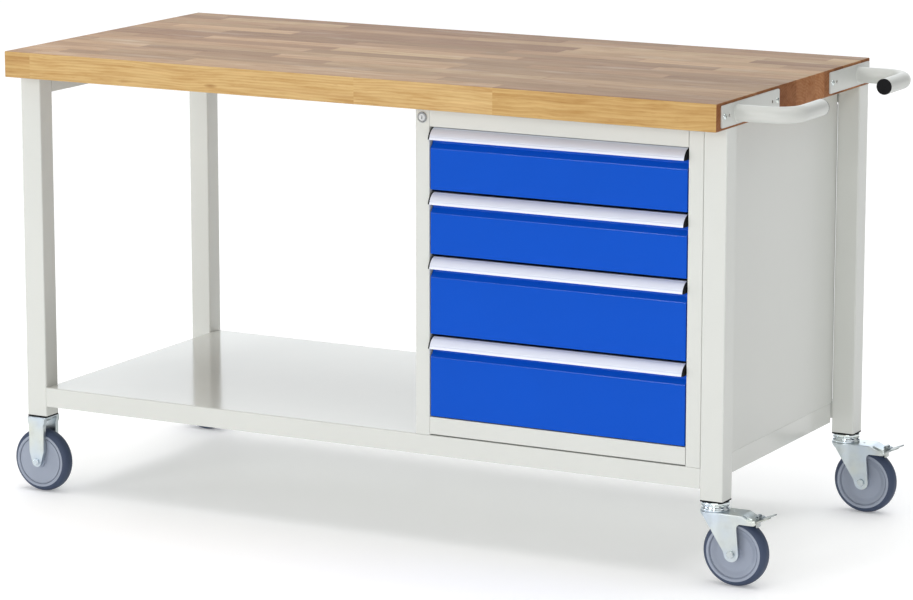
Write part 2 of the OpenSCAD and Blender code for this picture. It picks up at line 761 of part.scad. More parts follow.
// Swivel fork: lower race, crown, two arms with a brake housing, axle bolt
housing_l = 20;
housing_x = pedal_x - housing_l;
housing_drop = 7;
housing_end_r = 5;
arm_gusset = 10;
crown_x0 = 4 - bearing_d / 2;
module swivel_arm_outline() {
    z1 = crown_z1;
    zb = pedal_z - housing_end_r;
    difference() {
        union() {
            translate([trail, wheel_r]) circle(r = arm_end_r);
            translate([pedal_x, pedal_z]) circle(r = housing_end_r);
            polygon([[crown_x0, z1], [housing_x, z1], [pedal_x, z1 - housing_drop],
                [pedal_x, zb], [housing_x, zb], [trail + arm_end_r, zb - arm_gusset],
                [trail + arm_end_r, wheel_r], [trail, wheel_r],
                [trail - arm_end_r * sin(60), wheel_r - arm_end_r / 2]]);
        }
        translate([trail, wheel_r]) circle(d = bolt_d);
        translate([pedal_x, pedal_z]) circle(d = pedal_pin_d);
    }
}
module swivel_fork(iy) bench() color(zinc) at_caster(1, iy) {
    w = swivel_fork_w;
    for (m = [0, 1]) mirror([0, m, 0])
        plate_y(-w / 2, fork_sheet - w / 2) swivel_arm_outline();
    difference() {
        union() {
            translate([crown_x0, -w / 2, crown_z1 - fork_sheet])
                cube([housing_x - crown_x0, w, fork_sheet]);
            translate([0, 0, crown_z1 - EPS])
                cylinder(d = bearing_d, h = bearing_h - head_h - race_gap + EPS);
        }
        translate([0, 0, crown_z1 - fork_sheet - EPS])
            cylinder(d = kingpin_d + 2 * kingpin_clear, h = caster_h);
    }
    translate([pedal_x, -w / 2 + EPS, pedal_z]) rod_y(pedal_pin_d, w - 2 * EPS);
    translate([trail, 0, wheel_r]) axle_bolt(w);
}

// Brake pedal: hub on its pin, tread with two lobes, shoe over the tyre
pedal_t = 3;
pedal_hub_d = 10;
shoe_l = 12;
lobe_gap = 4;
tread_step = 1;
module brake_pedal(iy) bench() color(zinc) at_caster(1, iy) translate([pedal_x, 0, pedal_z]) {
    hw = swivel_fork_w / 2 - fork_sheet - 2 * seam;
    lobe_r = (hw - lobe_gap) / 2;
    root = (pedal_pin_d + pedal_hub_d) / 4;
    difference() {
        translate([0, -hw, 0]) rod_y(pedal_hub_d, 2 * hw);
        translate([0, -hw - EPS, 0]) rod_y(pedal_pin_d + 2 * pedal_clear, 2 * hw + 2 * EPS);
    }
    rotate([0, -pedal_tilt, 0]) translate([0, 0, -pedal_t / 2]) {
        block([root, tread_step - hw, 0], [pedal_l - lobe_r, hw - tread_step, pedal_t]);
        for (m = [0, 1]) mirror([0, m, 0])
            translate([pedal_l - lobe_r, hw - tread_step - lobe_r, 0])
                cylinder(r = lobe_r, h = pedal_t);
    }
    block([-pedal_t / 2, -tread_w / 4, -shoe_l], [pedal_t / 2, tread_w / 4, -root]);
}

worktop();
leg(0, 0);  // leg_front_left
leg(0, 1);  // leg_rear_left
leg(1, 0);  // leg_front_right
leg(1, 1);  // leg_rear_right
leg_plugs();
top_rails();
lower_shelf();
cabinet_left();
cabinet_right();
cabinet_back();
cabinet_top();
cabinet_floor();
cabinet_slides();
lock_housing();
lock_cylinder();
lock_bar();
lock_hooks();
handle_front();
handle_rear();
handle_plugs();
handle_screws();
drawer_box(0);  // drawer_box_1
drawer_box(1);  // drawer_box_2
drawer_box(2);  // drawer_box_3
drawer_box(3);  // drawer_box_4
drawer_front(0);  // drawer_front_1
drawer_front(1);  // drawer_front_2
drawer_front(2);  // drawer_front_3
drawer_front(3);  // drawer_front_4
drawer_grip(0);  // drawer_grip_1
drawer_grip(1);  // drawer_grip_2
drawer_grip(2);  // drawer_grip_3
drawer_grip(3);  // drawer_grip_4
grip_caps(0);  // grip_caps_1
grip_caps(1);  // grip_caps_2
grip_caps(2);  // grip_caps_3
grip_caps(3);  // grip_caps_4
drawer_runners(0);  // drawer_runners_1
drawer_runners(1);  // drawer_runners_2
drawer_runners(2);  // drawer_runners_3
drawer_runners(3);  // drawer_runners_4
mid_slides(0);  // mid_slides_1
mid_slides(1);  // mid_slides_2
mid_slides(2);  // mid_slides_3
mid_slides(3);  // mid_slides_4
fixed_casters();
swivel_heads();
swivel_fork(0);  // swivel_fork_front
swivel_fork(1);  // swivel_fork_rear
brake_pedal(0);  // brake_pedal_front
brake_pedal(1);  // brake_pedal_rear
wheel_core(0, 0);  // wheel_core_front_left
wheel_core(0, 1);  // wheel_core_rear_left
wheel_core(1, 0);  // wheel_core_front_right
wheel_core(1, 1);  // wheel_core_rear_right
tyre(0, 0);  // tyre_front_left
tyre(0, 1);  // tyre_rear_left
tyre(1, 0);  // tyre_front_right
tyre(1, 1);  // tyre_rear_right
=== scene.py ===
"""Looks of a mobile workbench: staved wooden top, powder coated steel frame, drawer
cabinet, push handles and braked swivel casters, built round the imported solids."""

import json
import math
import bmesh
import bpy
from bpy.props import FloatProperty, FloatVectorProperty, IntProperty, PointerProperty
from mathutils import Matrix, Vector


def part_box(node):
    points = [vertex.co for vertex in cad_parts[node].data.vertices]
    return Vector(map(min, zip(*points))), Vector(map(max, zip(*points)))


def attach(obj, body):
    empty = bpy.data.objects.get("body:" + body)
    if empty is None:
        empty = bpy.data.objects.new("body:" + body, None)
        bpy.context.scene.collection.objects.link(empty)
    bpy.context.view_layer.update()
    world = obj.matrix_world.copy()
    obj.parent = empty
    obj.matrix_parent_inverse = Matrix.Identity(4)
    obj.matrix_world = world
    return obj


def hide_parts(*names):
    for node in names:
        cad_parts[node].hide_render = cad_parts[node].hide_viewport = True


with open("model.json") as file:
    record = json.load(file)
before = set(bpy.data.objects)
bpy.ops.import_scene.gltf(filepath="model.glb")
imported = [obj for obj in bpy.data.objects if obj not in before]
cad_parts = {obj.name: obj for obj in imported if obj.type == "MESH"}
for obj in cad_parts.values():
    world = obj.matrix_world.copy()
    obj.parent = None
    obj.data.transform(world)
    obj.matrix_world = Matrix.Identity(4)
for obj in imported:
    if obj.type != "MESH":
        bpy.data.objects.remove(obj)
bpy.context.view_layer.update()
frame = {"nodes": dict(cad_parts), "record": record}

bl_info = {
    "name": "Mobile workbench",
    "version": (1, 0, 0),
    "blender": (4, 5, 0),
    "location": "View3D > Sidebar > Workbench",
    "description": "Builds the finished pieces of a mobile workbench with drawers",
    "category": "Object",
}

RECORD = frame["record"]
BODY_OF = {node: body for body, nodes in RECORD["behaviour"]["bodies"].items() for node in nodes}
SLOT_OF = {part["node"]: part["material_slot"] for part in RECORD["subparts"]}
DRAWERS = (1, 2, 3, 4)
ENDS = ("front", "rear")
MM = 0.001
ALONG_X, ALONG_Y, UP = Vector((1, 0, 0)), Vector((0, 1, 0)), Vector((0, 0, 1))
SMOOTH = math.radians(35)
WELD = 1e-5
CUT_EDGE = 0.0003
FINE_EDGE = 0.0002
FLAT = math.radians(0.5)
RACE_FACETS = 96


# ---------------------------------------------------------------- sizes and colours
def length(name, description, default):
    """A size in metres."""
    return FloatProperty(name=name, description=description, default=default, unit="LENGTH",
                         precision=4)


def colour(name, description, default):
    """A linear colour."""
    return FloatVectorProperty(name=name, description=description, default=default,
                               subtype="COLOR", size=3, min=0.0, max=1.0)


class BenchSizes(bpy.types.PropertyGroup):
    stave_width: length("Stave width", "Width of one stave of the worktop", 0.04375)
    stave_length: length("Stave length", "Mean length of one stave", 0.46)
    top_edge: length("Worktop edge", "Rounding of the worktop's edges", 0.0015)
    fold_radius: length("Fold radius", "Outer radius of the folded sheet", 0.0022)
    front_fold: length("Front fold radius", "Outer radius of a drawer front's folds", 0.0011)
    sheet_edge: length("Sheet edge", "Rounding of cut sheet edges", 0.0004)
    grip_radius: length("Grip radius", "Radius of a grip's outer curve", 0.026)
    grip_wall: length("Grip wall", "Wall of a grip", 0.002)
    pedal_tilt: FloatProperty(name="Pedal tilt", description="Rise of the brake pedal's tread",
                              default=math.radians(22), subtype="ANGLE")
    grip_line: length("Grip line", "Depth of the two fine lines drawn along a grip", 0.0012)
    grip_lip: length("Grip lip", "Depth of the lip at a grip's lower edge", 0.0045)
    handle_wall: length("Handle wall", "Wall of the handle tubes", 0.002)
    handle_bend: length("Handle bend", "Bend radius of the handle tubes", 0.048)
    plate_thickness: length("Plate thickness", "Thickness of the handle plates", 0.003)
    plate_corner: length("Plate corner", "Corner radius of the handle plates", 0.004)
    front_root: length("Front root", "Plate's outer end to the front tube", 0.066)
    rear_root: length("Rear root", "Plate's outer end to the rear tube", 0.053)
    rear_plate: length("Rear plate", "Length of the rear handle's plate", 0.190)
    front_plate: length("Front plate", "Length of the front handle's plate", 0.250)
    screw_offset: length("Screw offset", "Plate's end to its screw", 0.011)
    spare_offset: length("Spare hole offset", "Plate's end to its spare hole", 0.031)
    fork_sheet: length("Fork sheet", "Sheet thickness of the caster forks", 0.0025)
    fork_nose: length("Fork nose", "Radius of a swivel fork under its bearing", 0.0278)
    arm_width: length("Fixed arm width", "Width of a fixed caster's arms", 0.030)
    groove: length("Wheel groove", "Radius of the groove round a wheel's disc", 0.0465)
    facets: IntProperty(name="Wheel facets", description="Facets round a wheel", default=128)


class BenchColours(bpy.types.PropertyGroup):
    # The top and the long edges are one wood: the top's darker base is painted shade and reflection.
    wood_top_shaded: colour("Worktop face", "Oiled wood on the top face", (0.394, 0.273, 0.152))
    wood_front: colour("Worktop front", "Oiled wood on the long edges", (0.77, 0.605, 0.30))
    wood_end: colour("Worktop end", "Oiled wood on the end grain", (0.37, 0.178, 0.08))
    frame_paint: colour("Frame paint", "Light grey powder coat", (0.630, 0.641, 0.604))
    drawer_paint: colour("Drawer paint", "Blue powder coat", (0.001, 0.074, 0.505))
    grip_metal: colour("Grips", "Satin anodised aluminium", (0.75, 0.78, 0.87))
    zinc: colour("Zinc", "Bright zinc plating", (0.66, 0.70, 0.70))
    black: colour("Plugs and caps", "Black plastic", (0.012, 0.012, 0.013))
    rim: colour("Wheel discs", "Grey plastic", (0.292, 0.328, 0.403))
    tyre: colour("Tyres", "Blue grey rubber", (0.034, 0.052, 0.100))
    floor: colour("Floor", "Pale studio floor", (0.93, 0.93, 0.93))


class BenchStage(bpy.types.PropertyGroup):
    eye: FloatVectorProperty(name="Camera place", description="Where the camera stands",
                             default=(3.4478, -6.4033, 1.8444), subtype="TRANSLATION", size=3)
    sight: FloatVectorProperty(name="Camera direction", description="Where the camera looks",
                               default=(-0.46474, 0.86389, -0.1942), subtype="DIRECTION", size=3)
    floor_glow: FloatProperty(name="Floor glow", description="Light that the floor itself gives",
                              default=0.18, min=0.0)
    lens: FloatProperty(name="Lens", description="Focal length in millimetres", default=151.5)
    floor_size: length("Floor size", "Side of the floor", 160.0)


# ---------------------------------------------------------------- finishes
class Signal:
    """A shader value; sums on it add their Math nodes."""

    def __init__(self, finish, socket):
        self.finish, self.socket = finish, socket

    def __add__(self, other):
        return self.finish.sum("ADD", self, other)

    def __sub__(self, other):
        return self.finish.sum("SUBTRACT", self, other)

    def __rsub__(self, other):
        return self.finish.sum("SUBTRACT", other, self)

    def __mul__(self, other):
        return self.finish.sum("MULTIPLY", self, other)

    def __truediv__(self, other):
        return self.finish.sum("DIVIDE", self, other)

    __radd__ = __add__
    __rmul__ = __mul__


class Shading:
    """A node tree, with short names for the nodes used in it."""

    def __init__(self, tree):
        self.tree = tree

    def node(self, kind, settings=None, sockets=None):
        """Adds a node, with its settings first and then the values or links of its sockets."""
        made = self.tree.nodes.new(kind)
        for name, value in (settings or {}).items():
            setattr(made, name, value)
        for name, value in (sockets or {}).items():
            found = [s for s in made.inputs if s.enabled and name in (s.name, s.identifier)]
            self.feed(found[0] if isinstance(name, str) else made.inputs[name], value)
        return made

    def feed(self, socket, value):
        """Links a signal to a socket, or sets a plain value on it."""
        if isinstance(value, Signal):
            self.tree.links.new(value.socket, socket)
        elif hasattr(value, "__len__") and socket.type == "RGBA":
            socket.default_value = (*tuple(value)[:3], 1)
        else:
            socket.default_value = value

    def output(self, node, name):
        return Signal(self, next(s for s in node.outputs if s.enabled and s.name == name))

    def sum(self, operation, first, second=0.0):
        made = self.node("ShaderNodeMath", {"operation": operation})
        self.feed(made.inputs[0], first)
        self.feed(made.inputs[1], second)
        return Signal(self, made.outputs[0])

    def clamped(self, value, low=0.0, high=1.0):
        """value moved to 0 at low and 1 at high, and kept between them."""
        made = self.node("ShaderNodeMapRange", {"clamp": True},
                         {"Value": value, "From Min": low, "From Max": high})
        return self.output(made, "Result")

    def axes(self, vector):
        made = self.node("ShaderNodeSeparateXYZ", None, {"Vector": vector})
        return [Signal(self, socket) for socket in made.outputs]

    def point(self, x, y, z):
        made = self.node("ShaderNodeCombineXYZ", None, {"X": x, "Y": y, "Z": z})
        return Signal(self, made.outputs[0])

    def stretched(self, vector, scale):
        """vector times a scale for each axis."""
        made = self.node("ShaderNodeVectorMath", {"operation": "MULTIPLY"})
        self.feed(made.inputs[0], vector)
        self.feed(made.inputs[1], scale)
        return Signal(self, made.outputs[0])

    def noise(self, vector, scale, detail=2.0, roughness=0.5):
        made = self.node("ShaderNodeTexNoise", None, {"Vector": vector, "Scale": scale,
                         "Detail": detail, "Roughness": roughness})
        return self.output(made, "Fac")

    def tint(self, first, second, share, blend="MIX"):
        """Colour first turned into second by share."""
        made = self.node("ShaderNodeMix", {"data_type": "RGBA", "blend_type": blend,
                         "clamp_factor": True})
        self.feed(made.inputs[0], share)
        self.feed(next(s for s in made.inputs if s.identifier == "A_Color"), first)
        self.feed(next(s for s in made.inputs if s.identifier == "B_Color"), second)
        return Signal(self, next(s for s in made.outputs if s.identifier == "Result_Color"))

    def stained(self, first, stain, share):
        """Colour first multiplied by a stain, by share."""
        return self.tint(first, stain, share, "MULTIPLY")


class Finish(Shading):
    """One surface finish, as a material with its shader nodes."""

    def __init__(self, name, base, **settings):
        self.material = bpy.data.materials.new(name)
        self.material.use_nodes = True
        super().__init__(self.material.node_tree)
        self.shader = self.tree.nodes["Principled BSDF"]
        self.shader.inputs["Base Color"].default_value = (*base, 1)
        self.material.diffuse_color = (*base, 1)
        for socket, value in settings.items():
            self.shader.inputs[socket.replace("_", " ")].default_value = value
        self.place = self.output(self.node("ShaderNodeTexCoord"), "Object")

    def relief(self, height, depth):
        """Bump of that depth in metres."""
        made = self.node("ShaderNodeBump", None, {"Height": height, "Distance": depth,
                         "Strength": 1.0})
        self.feed(self.shader.inputs["Normal"], self.output(made, "Normal"))

    def give(self, name, value):
        self.feed(self.shader.inputs[name], value)


def shade(base, factor):
    """base made lighter or darker."""
    return tuple(min(1.0, channel * factor) for channel in base)


def make_wood(colours, sizes):
    """Oiled staves, each with its own tone, rings and grain; the ends are darker end grain, and the top's
    base is darker than the long edges' as painted shade and reflection.
    """
    wood = Finish("oiled_wood", colours.wood_top_shaded, Roughness=0.42, Specular_IOR_Level=0.06)
    low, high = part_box("worktop")
    x, y, z = wood.axes(wood.place)
    across = (y - low.y) / sizes.stave_width
    stave = wood.sum("FLOOR", across)
    row = wood.output(wood.node("ShaderNodeTexWhiteNoise", {"noise_dimensions": "1D"},
                                {"W": stave + 3.3}), "Value")
    run = x / sizes.stave_length + row * 7.3
    along = run + 0.30 * wood.sum("SINE", run * 2.3 + row * 20.0)
    piece_no = wood.sum("FLOOR", along)
    seed = wood.node("ShaderNodeTexWhiteNoise", {"noise_dimensions": "3D"},
                     {"Vector": wood.point(stave, piece_no, 0.5)})
    tone, seeds = wood.output(seed, "Value"), wood.output(seed, "Color")
    seed_x, seed_y, seed_z = wood.axes(seeds)

    normal = wood.output(wood.node("ShaderNodeNewGeometry"), "Normal")
    facing_x, _, facing_z = wood.axes(normal)
    on_end = wood.clamped(wood.sum("ABSOLUTE", facing_x), 0.6, 0.8)
    on_top = wood.clamped(wood.sum("ABSOLUTE", facing_z), 0.6, 0.8)

    # Rings round a pith that lies beside each stave
    warp = wood.noise(wood.point(x * 3.0 + seed_x * 31, y * 12, z * 12 + seed_y * 17), 1.0, 3.0)
    from_pith_y = (across - stave - 0.5) * sizes.stave_width + (seed_x - 0.5) * 0.09
    from_pith_z = z - high.z + 0.02 + seed_z * 0.11
    radius = wood.sum("SQRT", from_pith_y * from_pith_y + from_pith_z * from_pith_z)
    ring = wood.sum("FRACT", (radius + warp * 0.034) * 170.0)
    ring = wood.clamped(ring, 0.0, 0.8) - wood.clamped(ring, 0.8, 1.0)

    # Long fibres, short pores and darker streaks along each stave
    fibre = wood.noise(wood.point(x * 6, y * 330 + seed_x * 50, z * 330), 1.0, 3.0, 0.6)
    streak = wood.noise(wood.point(x * 2.5 + seed_y * 40, y * 75, z * 60 + seed_x * 9), 1.0, 3.0)
    pore = wood.clamped(wood.noise(wood.point(x * 45, y * 900, z * 900 + seed_y * 9), 1.0, 1.0),
                        0.66, 0.74)

    # Painted shade and reflection: the top takes a darker base than the long edges of the same wood.
    face = wood.tint(colours.wood_front, colours.wood_top_shaded, on_top)
    face = wood.tint(face, colours.wood_end, on_end)
    rosy = wood.tint((1.0, 1.0, 0.96), (0.98, 0.90, 0.86), wood.clamped(seed_z, 0.35, 0.75))
    face = wood.stained(face, rosy, on_top * 0.9)
    stave_tone = wood.tint((0.66, 0.56, 0.49), (1.20, 1.22, 1.24), tone)
    face = wood.stained(face, stave_tone, on_top + on_end)
    edge_tone = wood.tint((0.88, 0.82, 0.70), (1.06, 1.08, 1.12), tone)
    face = wood.stained(face, edge_tone, 1.0 - wood.sum("MAXIMUM", on_top, on_end))
    grain = ring * (0.50 + on_end * 0.2 - on_top * 0.25) + (fibre - 0.5) * 0.6
    face = wood.stained(face, (0.66, 0.47, 0.30), wood.clamped(grain, -0.1, 1.4))
    flame = wood.noise(wood.point(x * 9 + seed_x * 20, y * 55 + seed_y * 9, z * 95 + warp * 2.5),
                       1.0, 4.0, 0.6)
    face = wood.stained(face, (0.74, 0.60, 0.44), wood.clamped(flame, 0.48, 0.74) * 0.8)
    face = wood.stained(face, (1.14, 1.16, 1.22), wood.clamped(flame, 0.46, 0.26) * 0.8)
    face = wood.stained(face, (0.72, 0.58, 0.50), wood.clamped(streak, 0.52, 0.75) * 0.5)
    face = wood.stained(face, (0.70, 0.56, 0.44), pore * 0.5)

    # Pale haze over the top face in patches, and a few small knots
    haze = wood.clamped(wood.noise(wood.point(x * 4, y * 22, 0.0), 1.0, 3.0, 0.6), 0.55, 0.80)
    face = wood.tint(face, (0.78, 0.70, 0.62), haze * on_top * 0.25)
    knot = wood.node("ShaderNodeTexVoronoi", {"feature": "F1"},
                     {"Vector": wood.point(x * 6.5, y * 26, z * 26), "Scale": 1.0})
    speck = wood.clamped(wood.output(knot, "Distance"), 0.13, 0.05)
    chosen = wood.clamped(wood.axes(wood.output(knot, "Color"))[0], 0.62, 0.66)
    face = wood.stained(face, (0.45, 0.28, 0.16), speck * chosen * 0.8)

    # Fine dark glue line between staves
    edge = wood.sum("ABSOLUTE", across - stave - 0.5)
    joint = wood.sum("ABSOLUTE", along - piece_no - 0.5)
    line = wood.sum("MAXIMUM", wood.clamped(edge, 0.485, 0.498),
                    wood.clamped(joint, 0.4975, 0.4995))
    face = wood.stained(face, (0.66, 0.52, 0.42), line * 0.6)
    wood.give("Base Color", face)
    wood.give("Roughness", 0.36 + fibre * 0.14 + on_end * 0.12)
    wood.relief(fibre * 0.4 - pore * 0.5 - line * 0.6, 0.0002)
    return wood.material


def make_paint(name, base, roughness, peel, **settings):
    """Powder coat: an even film with a fine orange peel and soft unevenness."""
    paint = Finish(name, base, Roughness=roughness, **settings)
    cloud = paint.noise(paint.place, 6.0, 2.0)
    grainy = paint.noise(paint.place, 700.0, 2.0)
    film = paint.tint(shade(base, 0.975), shade(base, 1.02), cloud)
    paint.give("Base Color", paint.tint(film, shade(base, 0.9), (grainy - 0.5) * 0.5))
    paint.give("Roughness", roughness - 0.03 + cloud * 0.06)
    paint.relief(grainy, peel)
    return paint.material


def make_front_paint(colours):
    """Blue powder coat, glossier over the upper fold of a drawer front."""
    base = tuple(colours.drawer_paint)
    paint = Finish("drawer_paint", base, Roughness=0.34, Specular_IOR_Level=0.10,
                   Coat_Roughness=0.12)
    cloud = paint.noise(paint.place, 6.0, 2.0)
    grainy = paint.noise(paint.place, 700.0, 2.0)
    normal = paint.output(paint.node("ShaderNodeNewGeometry"), "Normal")
    rise = paint.axes(normal)[2]
    fold = paint.clamped(rise, 0.08, 0.22) * paint.clamped(rise, 0.64, 0.52)
    film = paint.tint(shade(base, 0.96), shade(base, 1.04), cloud)
    paint.give("Base Color", paint.tint(film, shade(base, 0.88), (grainy - 0.5) * 0.5))
    paint.give("Coat Weight", fold)
    paint.give("Roughness", 0.31 + cloud * 0.06)
    paint.relief(grainy, 0.00004)
    return paint.material


def make_anodised(colours):
    """Satin anodised aluminium with drawing lines along the profile."""
    metal = Finish("anodised_aluminium", colours.grip_metal, Metallic=0.15, Roughness=0.38)
    lines = metal.noise(metal.stretched(metal.place, (4.0, 1500.0, 1500.0)), 1.0, 2.0)
    film = metal.noise(metal.place, 30.0, 2.0)
    base = metal.tint(shade(colours.grip_metal, 0.94), shade(colours.grip_metal, 1.05), lines)
    metal.give("Base Color", base)
    metal.give("Roughness", 0.40 + lines * 0.06 + film * 0.05)
    metal.relief(lines, 0.00004)
    return metal.material


def make_zinc(name, base, roughness, **settings):
    """Bright zinc plating: clouded, bluish or straw coloured in patches."""
    zinc = Finish(name, base, Metallic=1.0, Roughness=roughness, **settings)
    cloud = zinc.noise(zinc.place, 55.0, 4.0, 0.6)
    patch = zinc.noise(zinc.place, 18.0, 2.0)
    spangle = zinc.noise(zinc.place, 420.0, 2.0)
    bluish = (base[0] * 0.92, base[1] * 0.98, base[2] * 1.08)
    straw = (base[0] * 1.05, base[1] * 1.03, base[2] * 0.92)
    film = zinc.tint(bluish, straw, zinc.clamped(patch, 0.3, 0.7))
    film = zinc.tint(film, shade(base, 0.75), zinc.clamped(cloud, 0.5, 0.9) * 0.6)
    zinc.give("Base Color", film)
    zinc.give("Roughness", roughness - 0.06 + cloud * 0.14)
    zinc.relief(spangle + cloud, 0.00005)
    return zinc.material


def make_plastic(name, base, roughness, grain_size, grain_depth, **settings):
    """Moulded plastic or rubber with a fine mould texture."""
    plastic = Finish(name, base, Roughness=roughness, **settings)
    grain = plastic.noise(plastic.place, 1.0 / grain_size, 3.0, 0.6)
    cloud = plastic.noise(plastic.place, 24.0, 2.0)
    film = plastic.tint(shade(base, 0.93), shade(base, 1.07), cloud)
    plastic.give("Base Color", film)
    plastic.give("Roughness", roughness - 0.06 + grain * 0.12)
    plastic.relief(grain, grain_depth)
    return plastic.material


FINISHES = {}


def make_finishes():
    """Mixes every finish once."""
    colours, sizes = bpy.context.scene.bench_colours, bpy.context.scene.bench_sizes
    FINISHES.update(
        wood=make_wood(colours, sizes),
        frame_paint=make_paint("frame_paint", tuple(colours.frame_paint), 0.30, 0.00005),
        shelf_paint=make_paint("shelf_paint", tuple(colours.frame_paint), 0.13, 0.00001),
        drawer_paint=make_front_paint(colours),
        grip_metal=make_anodised(colours),
        zinc=make_zinc("zinc_plating", shade(colours.zinc, 0.90), 0.31),
        polished_zinc=make_zinc("polished_zinc", shade(colours.zinc, 1.05), 0.13),
        # Pedal zinc: the plating painted darker, a painted shade.
        lever_zinc=make_zinc("lever_zinc", shade(colours.zinc, 0.62), 0.30),
        bolt_zinc=make_zinc("bolt_zinc", shade(colours.zinc, 0.9), 0.20),
        # Lock ring: chrome painted dark, a painted reflection.
        lock_ring=make_zinc("lock_ring", (0.30, 0.295, 0.28), 0.22),
        lock_face=make_zinc("lock_face", (0.62, 0.60, 0.57), 0.34),
        # Handle paint: the frame's powder coat painted darker, a painted shade.
        tube_paint=make_paint("tube_paint", shade(colours.frame_paint, 0.9), 0.36, 0.00006),
        black_plastic=make_plastic("black_plastic", tuple(colours.black), 0.5, 0.0012, 0.00003,
                                   Specular_IOR_Level=0.05),
        rim_plastic=make_plastic("rim_plastic", tuple(colours.rim), 0.48, 0.0015, 0.00004),
        tyre=make_plastic("tyre_rubber", tuple(colours.tyre), 0.58, 0.002, 0.00006),
    )


# ---------------------------------------------------------------- workshop steps
def nothing_selected():
    """Back to object mode with nothing picked."""
    if bpy.context.mode != "OBJECT":
        bpy.ops.object.mode_set(mode="OBJECT")
    bpy.ops.object.select_all(action="DESELECT")


def work_on(piece):
    """Makes piece the only picked one."""
    nothing_selected()
    piece.select_set(True)
    bpy.context.view_layer.objects.active = piece
    return piece


def named(name):
    """Names the piece that was just added, and applies its place to its mesh."""
    piece = bpy.context.object
    piece.name = piece.data.name = name
    bpy.ops.object.transform_apply(location=True, rotation=True, scale=True)
    return piece


def edit(piece, kind="VERT"):
    """Opens piece for shaping, with nothing picked."""
    work_on(piece)
    bpy.ops.object.mode_set(mode="EDIT")
    bpy.ops.mesh.select_mode(type=kind)
    bpy.ops.mesh.select_all(action="DESELECT")


def done():
    bpy.ops.object.mode_set(mode="OBJECT")


def pick_edges(piece, wanted):
    """Picks the edges of the open piece whose two ends pass wanted."""
    shape = bmesh.from_edit_mesh(piece.data)
    for edge in shape.edges:
        edge.select = wanted(edge.verts[0].co, edge.verts[1].co)
    bmesh.update_edit_mesh(piece.data)


def pick_creases(piece, wanted):
    """Picks the edges of the open piece whose two faces' normals pass wanted."""
    shape = bmesh.from_edit_mesh(piece.data)
    for edge in shape.edges:
        pair = [face.normal for face in edge.link_faces]
        edge.select = len(pair) == 2 and (wanted(*pair) or wanted(*reversed(pair)))
    bmesh.update_edit_mesh(piece.data)


def pick_faces(piece, wanted):
    """Picks the faces of the open piece whose middle and normal pass wanted."""
    shape = bmesh.from_edit_mesh(piece.data)
    for face in shape.faces:
        face.select_set(wanted(face.calc_center_median(), face.normal))
    bmesh.update_edit_mesh(piece.data)


def round_folds(piece, radius, wanted, segments=3):
    """Rounds the chosen edges of a piece."""
    edit(piece, "EDGE")
    pick_edges(piece, wanted)
    bevel(radius, segments, clamp_overlap=True)
    done()


def apply_modifier(piece, kind, **settings):
    work_on(piece)
    bpy.ops.object.modifier_add(type=kind)
    made = piece.modifiers[-1]
    for name, value in settings.items():
        setattr(made, name, value)
    bpy.ops.object.modifier_apply(modifier=made.name)


def ease_edges(piece, width, segments=2, angle=40):
    """Rounds every sharp edge a little, and smooths the shading."""
    if width:
        apply_modifier(piece, "BEVEL", width=width, segments=segments, limit_method="ANGLE",
                       angle_limit=math.radians(angle), use_clamp_overlap=True)
    work_on(piece)
    bpy.ops.object.shade_smooth_by_angle(angle=SMOOTH)
    apply_modifier(piece, "WEIGHTED_NORMAL", keep_sharp=True, weight=50)
    return piece


def from_solid(node, name=None):
    """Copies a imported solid, with its flat faces whole again."""
    nothing_selected()
    piece = frame["nodes"][node].copy()
    piece.data = piece.data.copy()
    for key in list(piece.keys()):
        del piece[key]
    piece.parent = None
    bpy.context.scene.collection.objects.link(piece)
    piece.name = piece.data.name = name or f"{node}_finished"
    piece.data.materials.clear()
    work_on(piece)
    bpy.ops.mesh.customdata_custom_splitnormals_clear()
    edit(piece)
    weld()
    bpy.ops.mesh.dissolve_limited(angle_limit=FLAT)
    done()
    return piece


def block(name, low, high):
    """A block between two corners."""
    nothing_selected()
    low, high = Vector(low), Vector(high)
    bpy.ops.mesh.primitive_cube_add(size=1, location=(low + high) / 2, scale=high - low)
    return named(name)


def rod(name, start, end, diameter, facets=32, turn=0.0):
    """A round bar between two points on one axis."""
    nothing_selected()
    start, end = Vector(start), Vector(end)
    turned_to = (end - start).to_track_quat("Z", "Y").to_euler()
    bpy.ops.mesh.primitive_cylinder_add(vertices=facets, radius=diameter / 2,
                                        depth=(end - start).length, location=(start + end) / 2,
                                        rotation=turned_to)
    piece = named(name)
    if turn:
        edit(piece)
        bpy.ops.mesh.select_all(action="SELECT")
        axis = "XYZ"[max(range(3), key=lambda i: abs((end - start)[i]))]
        bpy.ops.transform.rotate(value=turn, orient_axis=axis, center_override=(start + end) / 2)
        done()
    return piece


def draw_line(name, points, closed):
    """Draws a line by pulling one vertex from point to point, and leaves it open for shaping."""
    nothing_selected()
    points = [Vector(point) for point in points]
    bpy.ops.mesh.primitive_plane_add(size=MM, location=points[0])
    piece = named(name)
    edit(piece)
    bpy.ops.mesh.select_all(action="SELECT")
    bpy.ops.mesh.merge(type="CENTER")
    ends = points[1:] + ([points[0]] if closed else [])
    for start, end in zip(points, ends):
        bpy.ops.mesh.extrude_vertices_move(TRANSFORM_OT_translate={"value": end - start})
    weld()
    bpy.ops.mesh.select_all(action="SELECT")
    return piece


def weld():
    """Merges the vertices of the open piece that share a place."""
    bpy.ops.mesh.select_all(action="SELECT")
    bpy.ops.mesh.remove_doubles(threshold=WELD)


def bevel(width, segments, **settings):
    """Rounds the picked edges of the open piece."""
    bpy.ops.mesh.bevel(offset=width, segments=segments, profile=0.5, affect="EDGES", **settings)


def outwards():
    """Turns every face of the open piece outwards."""
    bpy.ops.mesh.select_all(action="SELECT")
    bpy.ops.mesh.normals_make_consistent(inside=False)


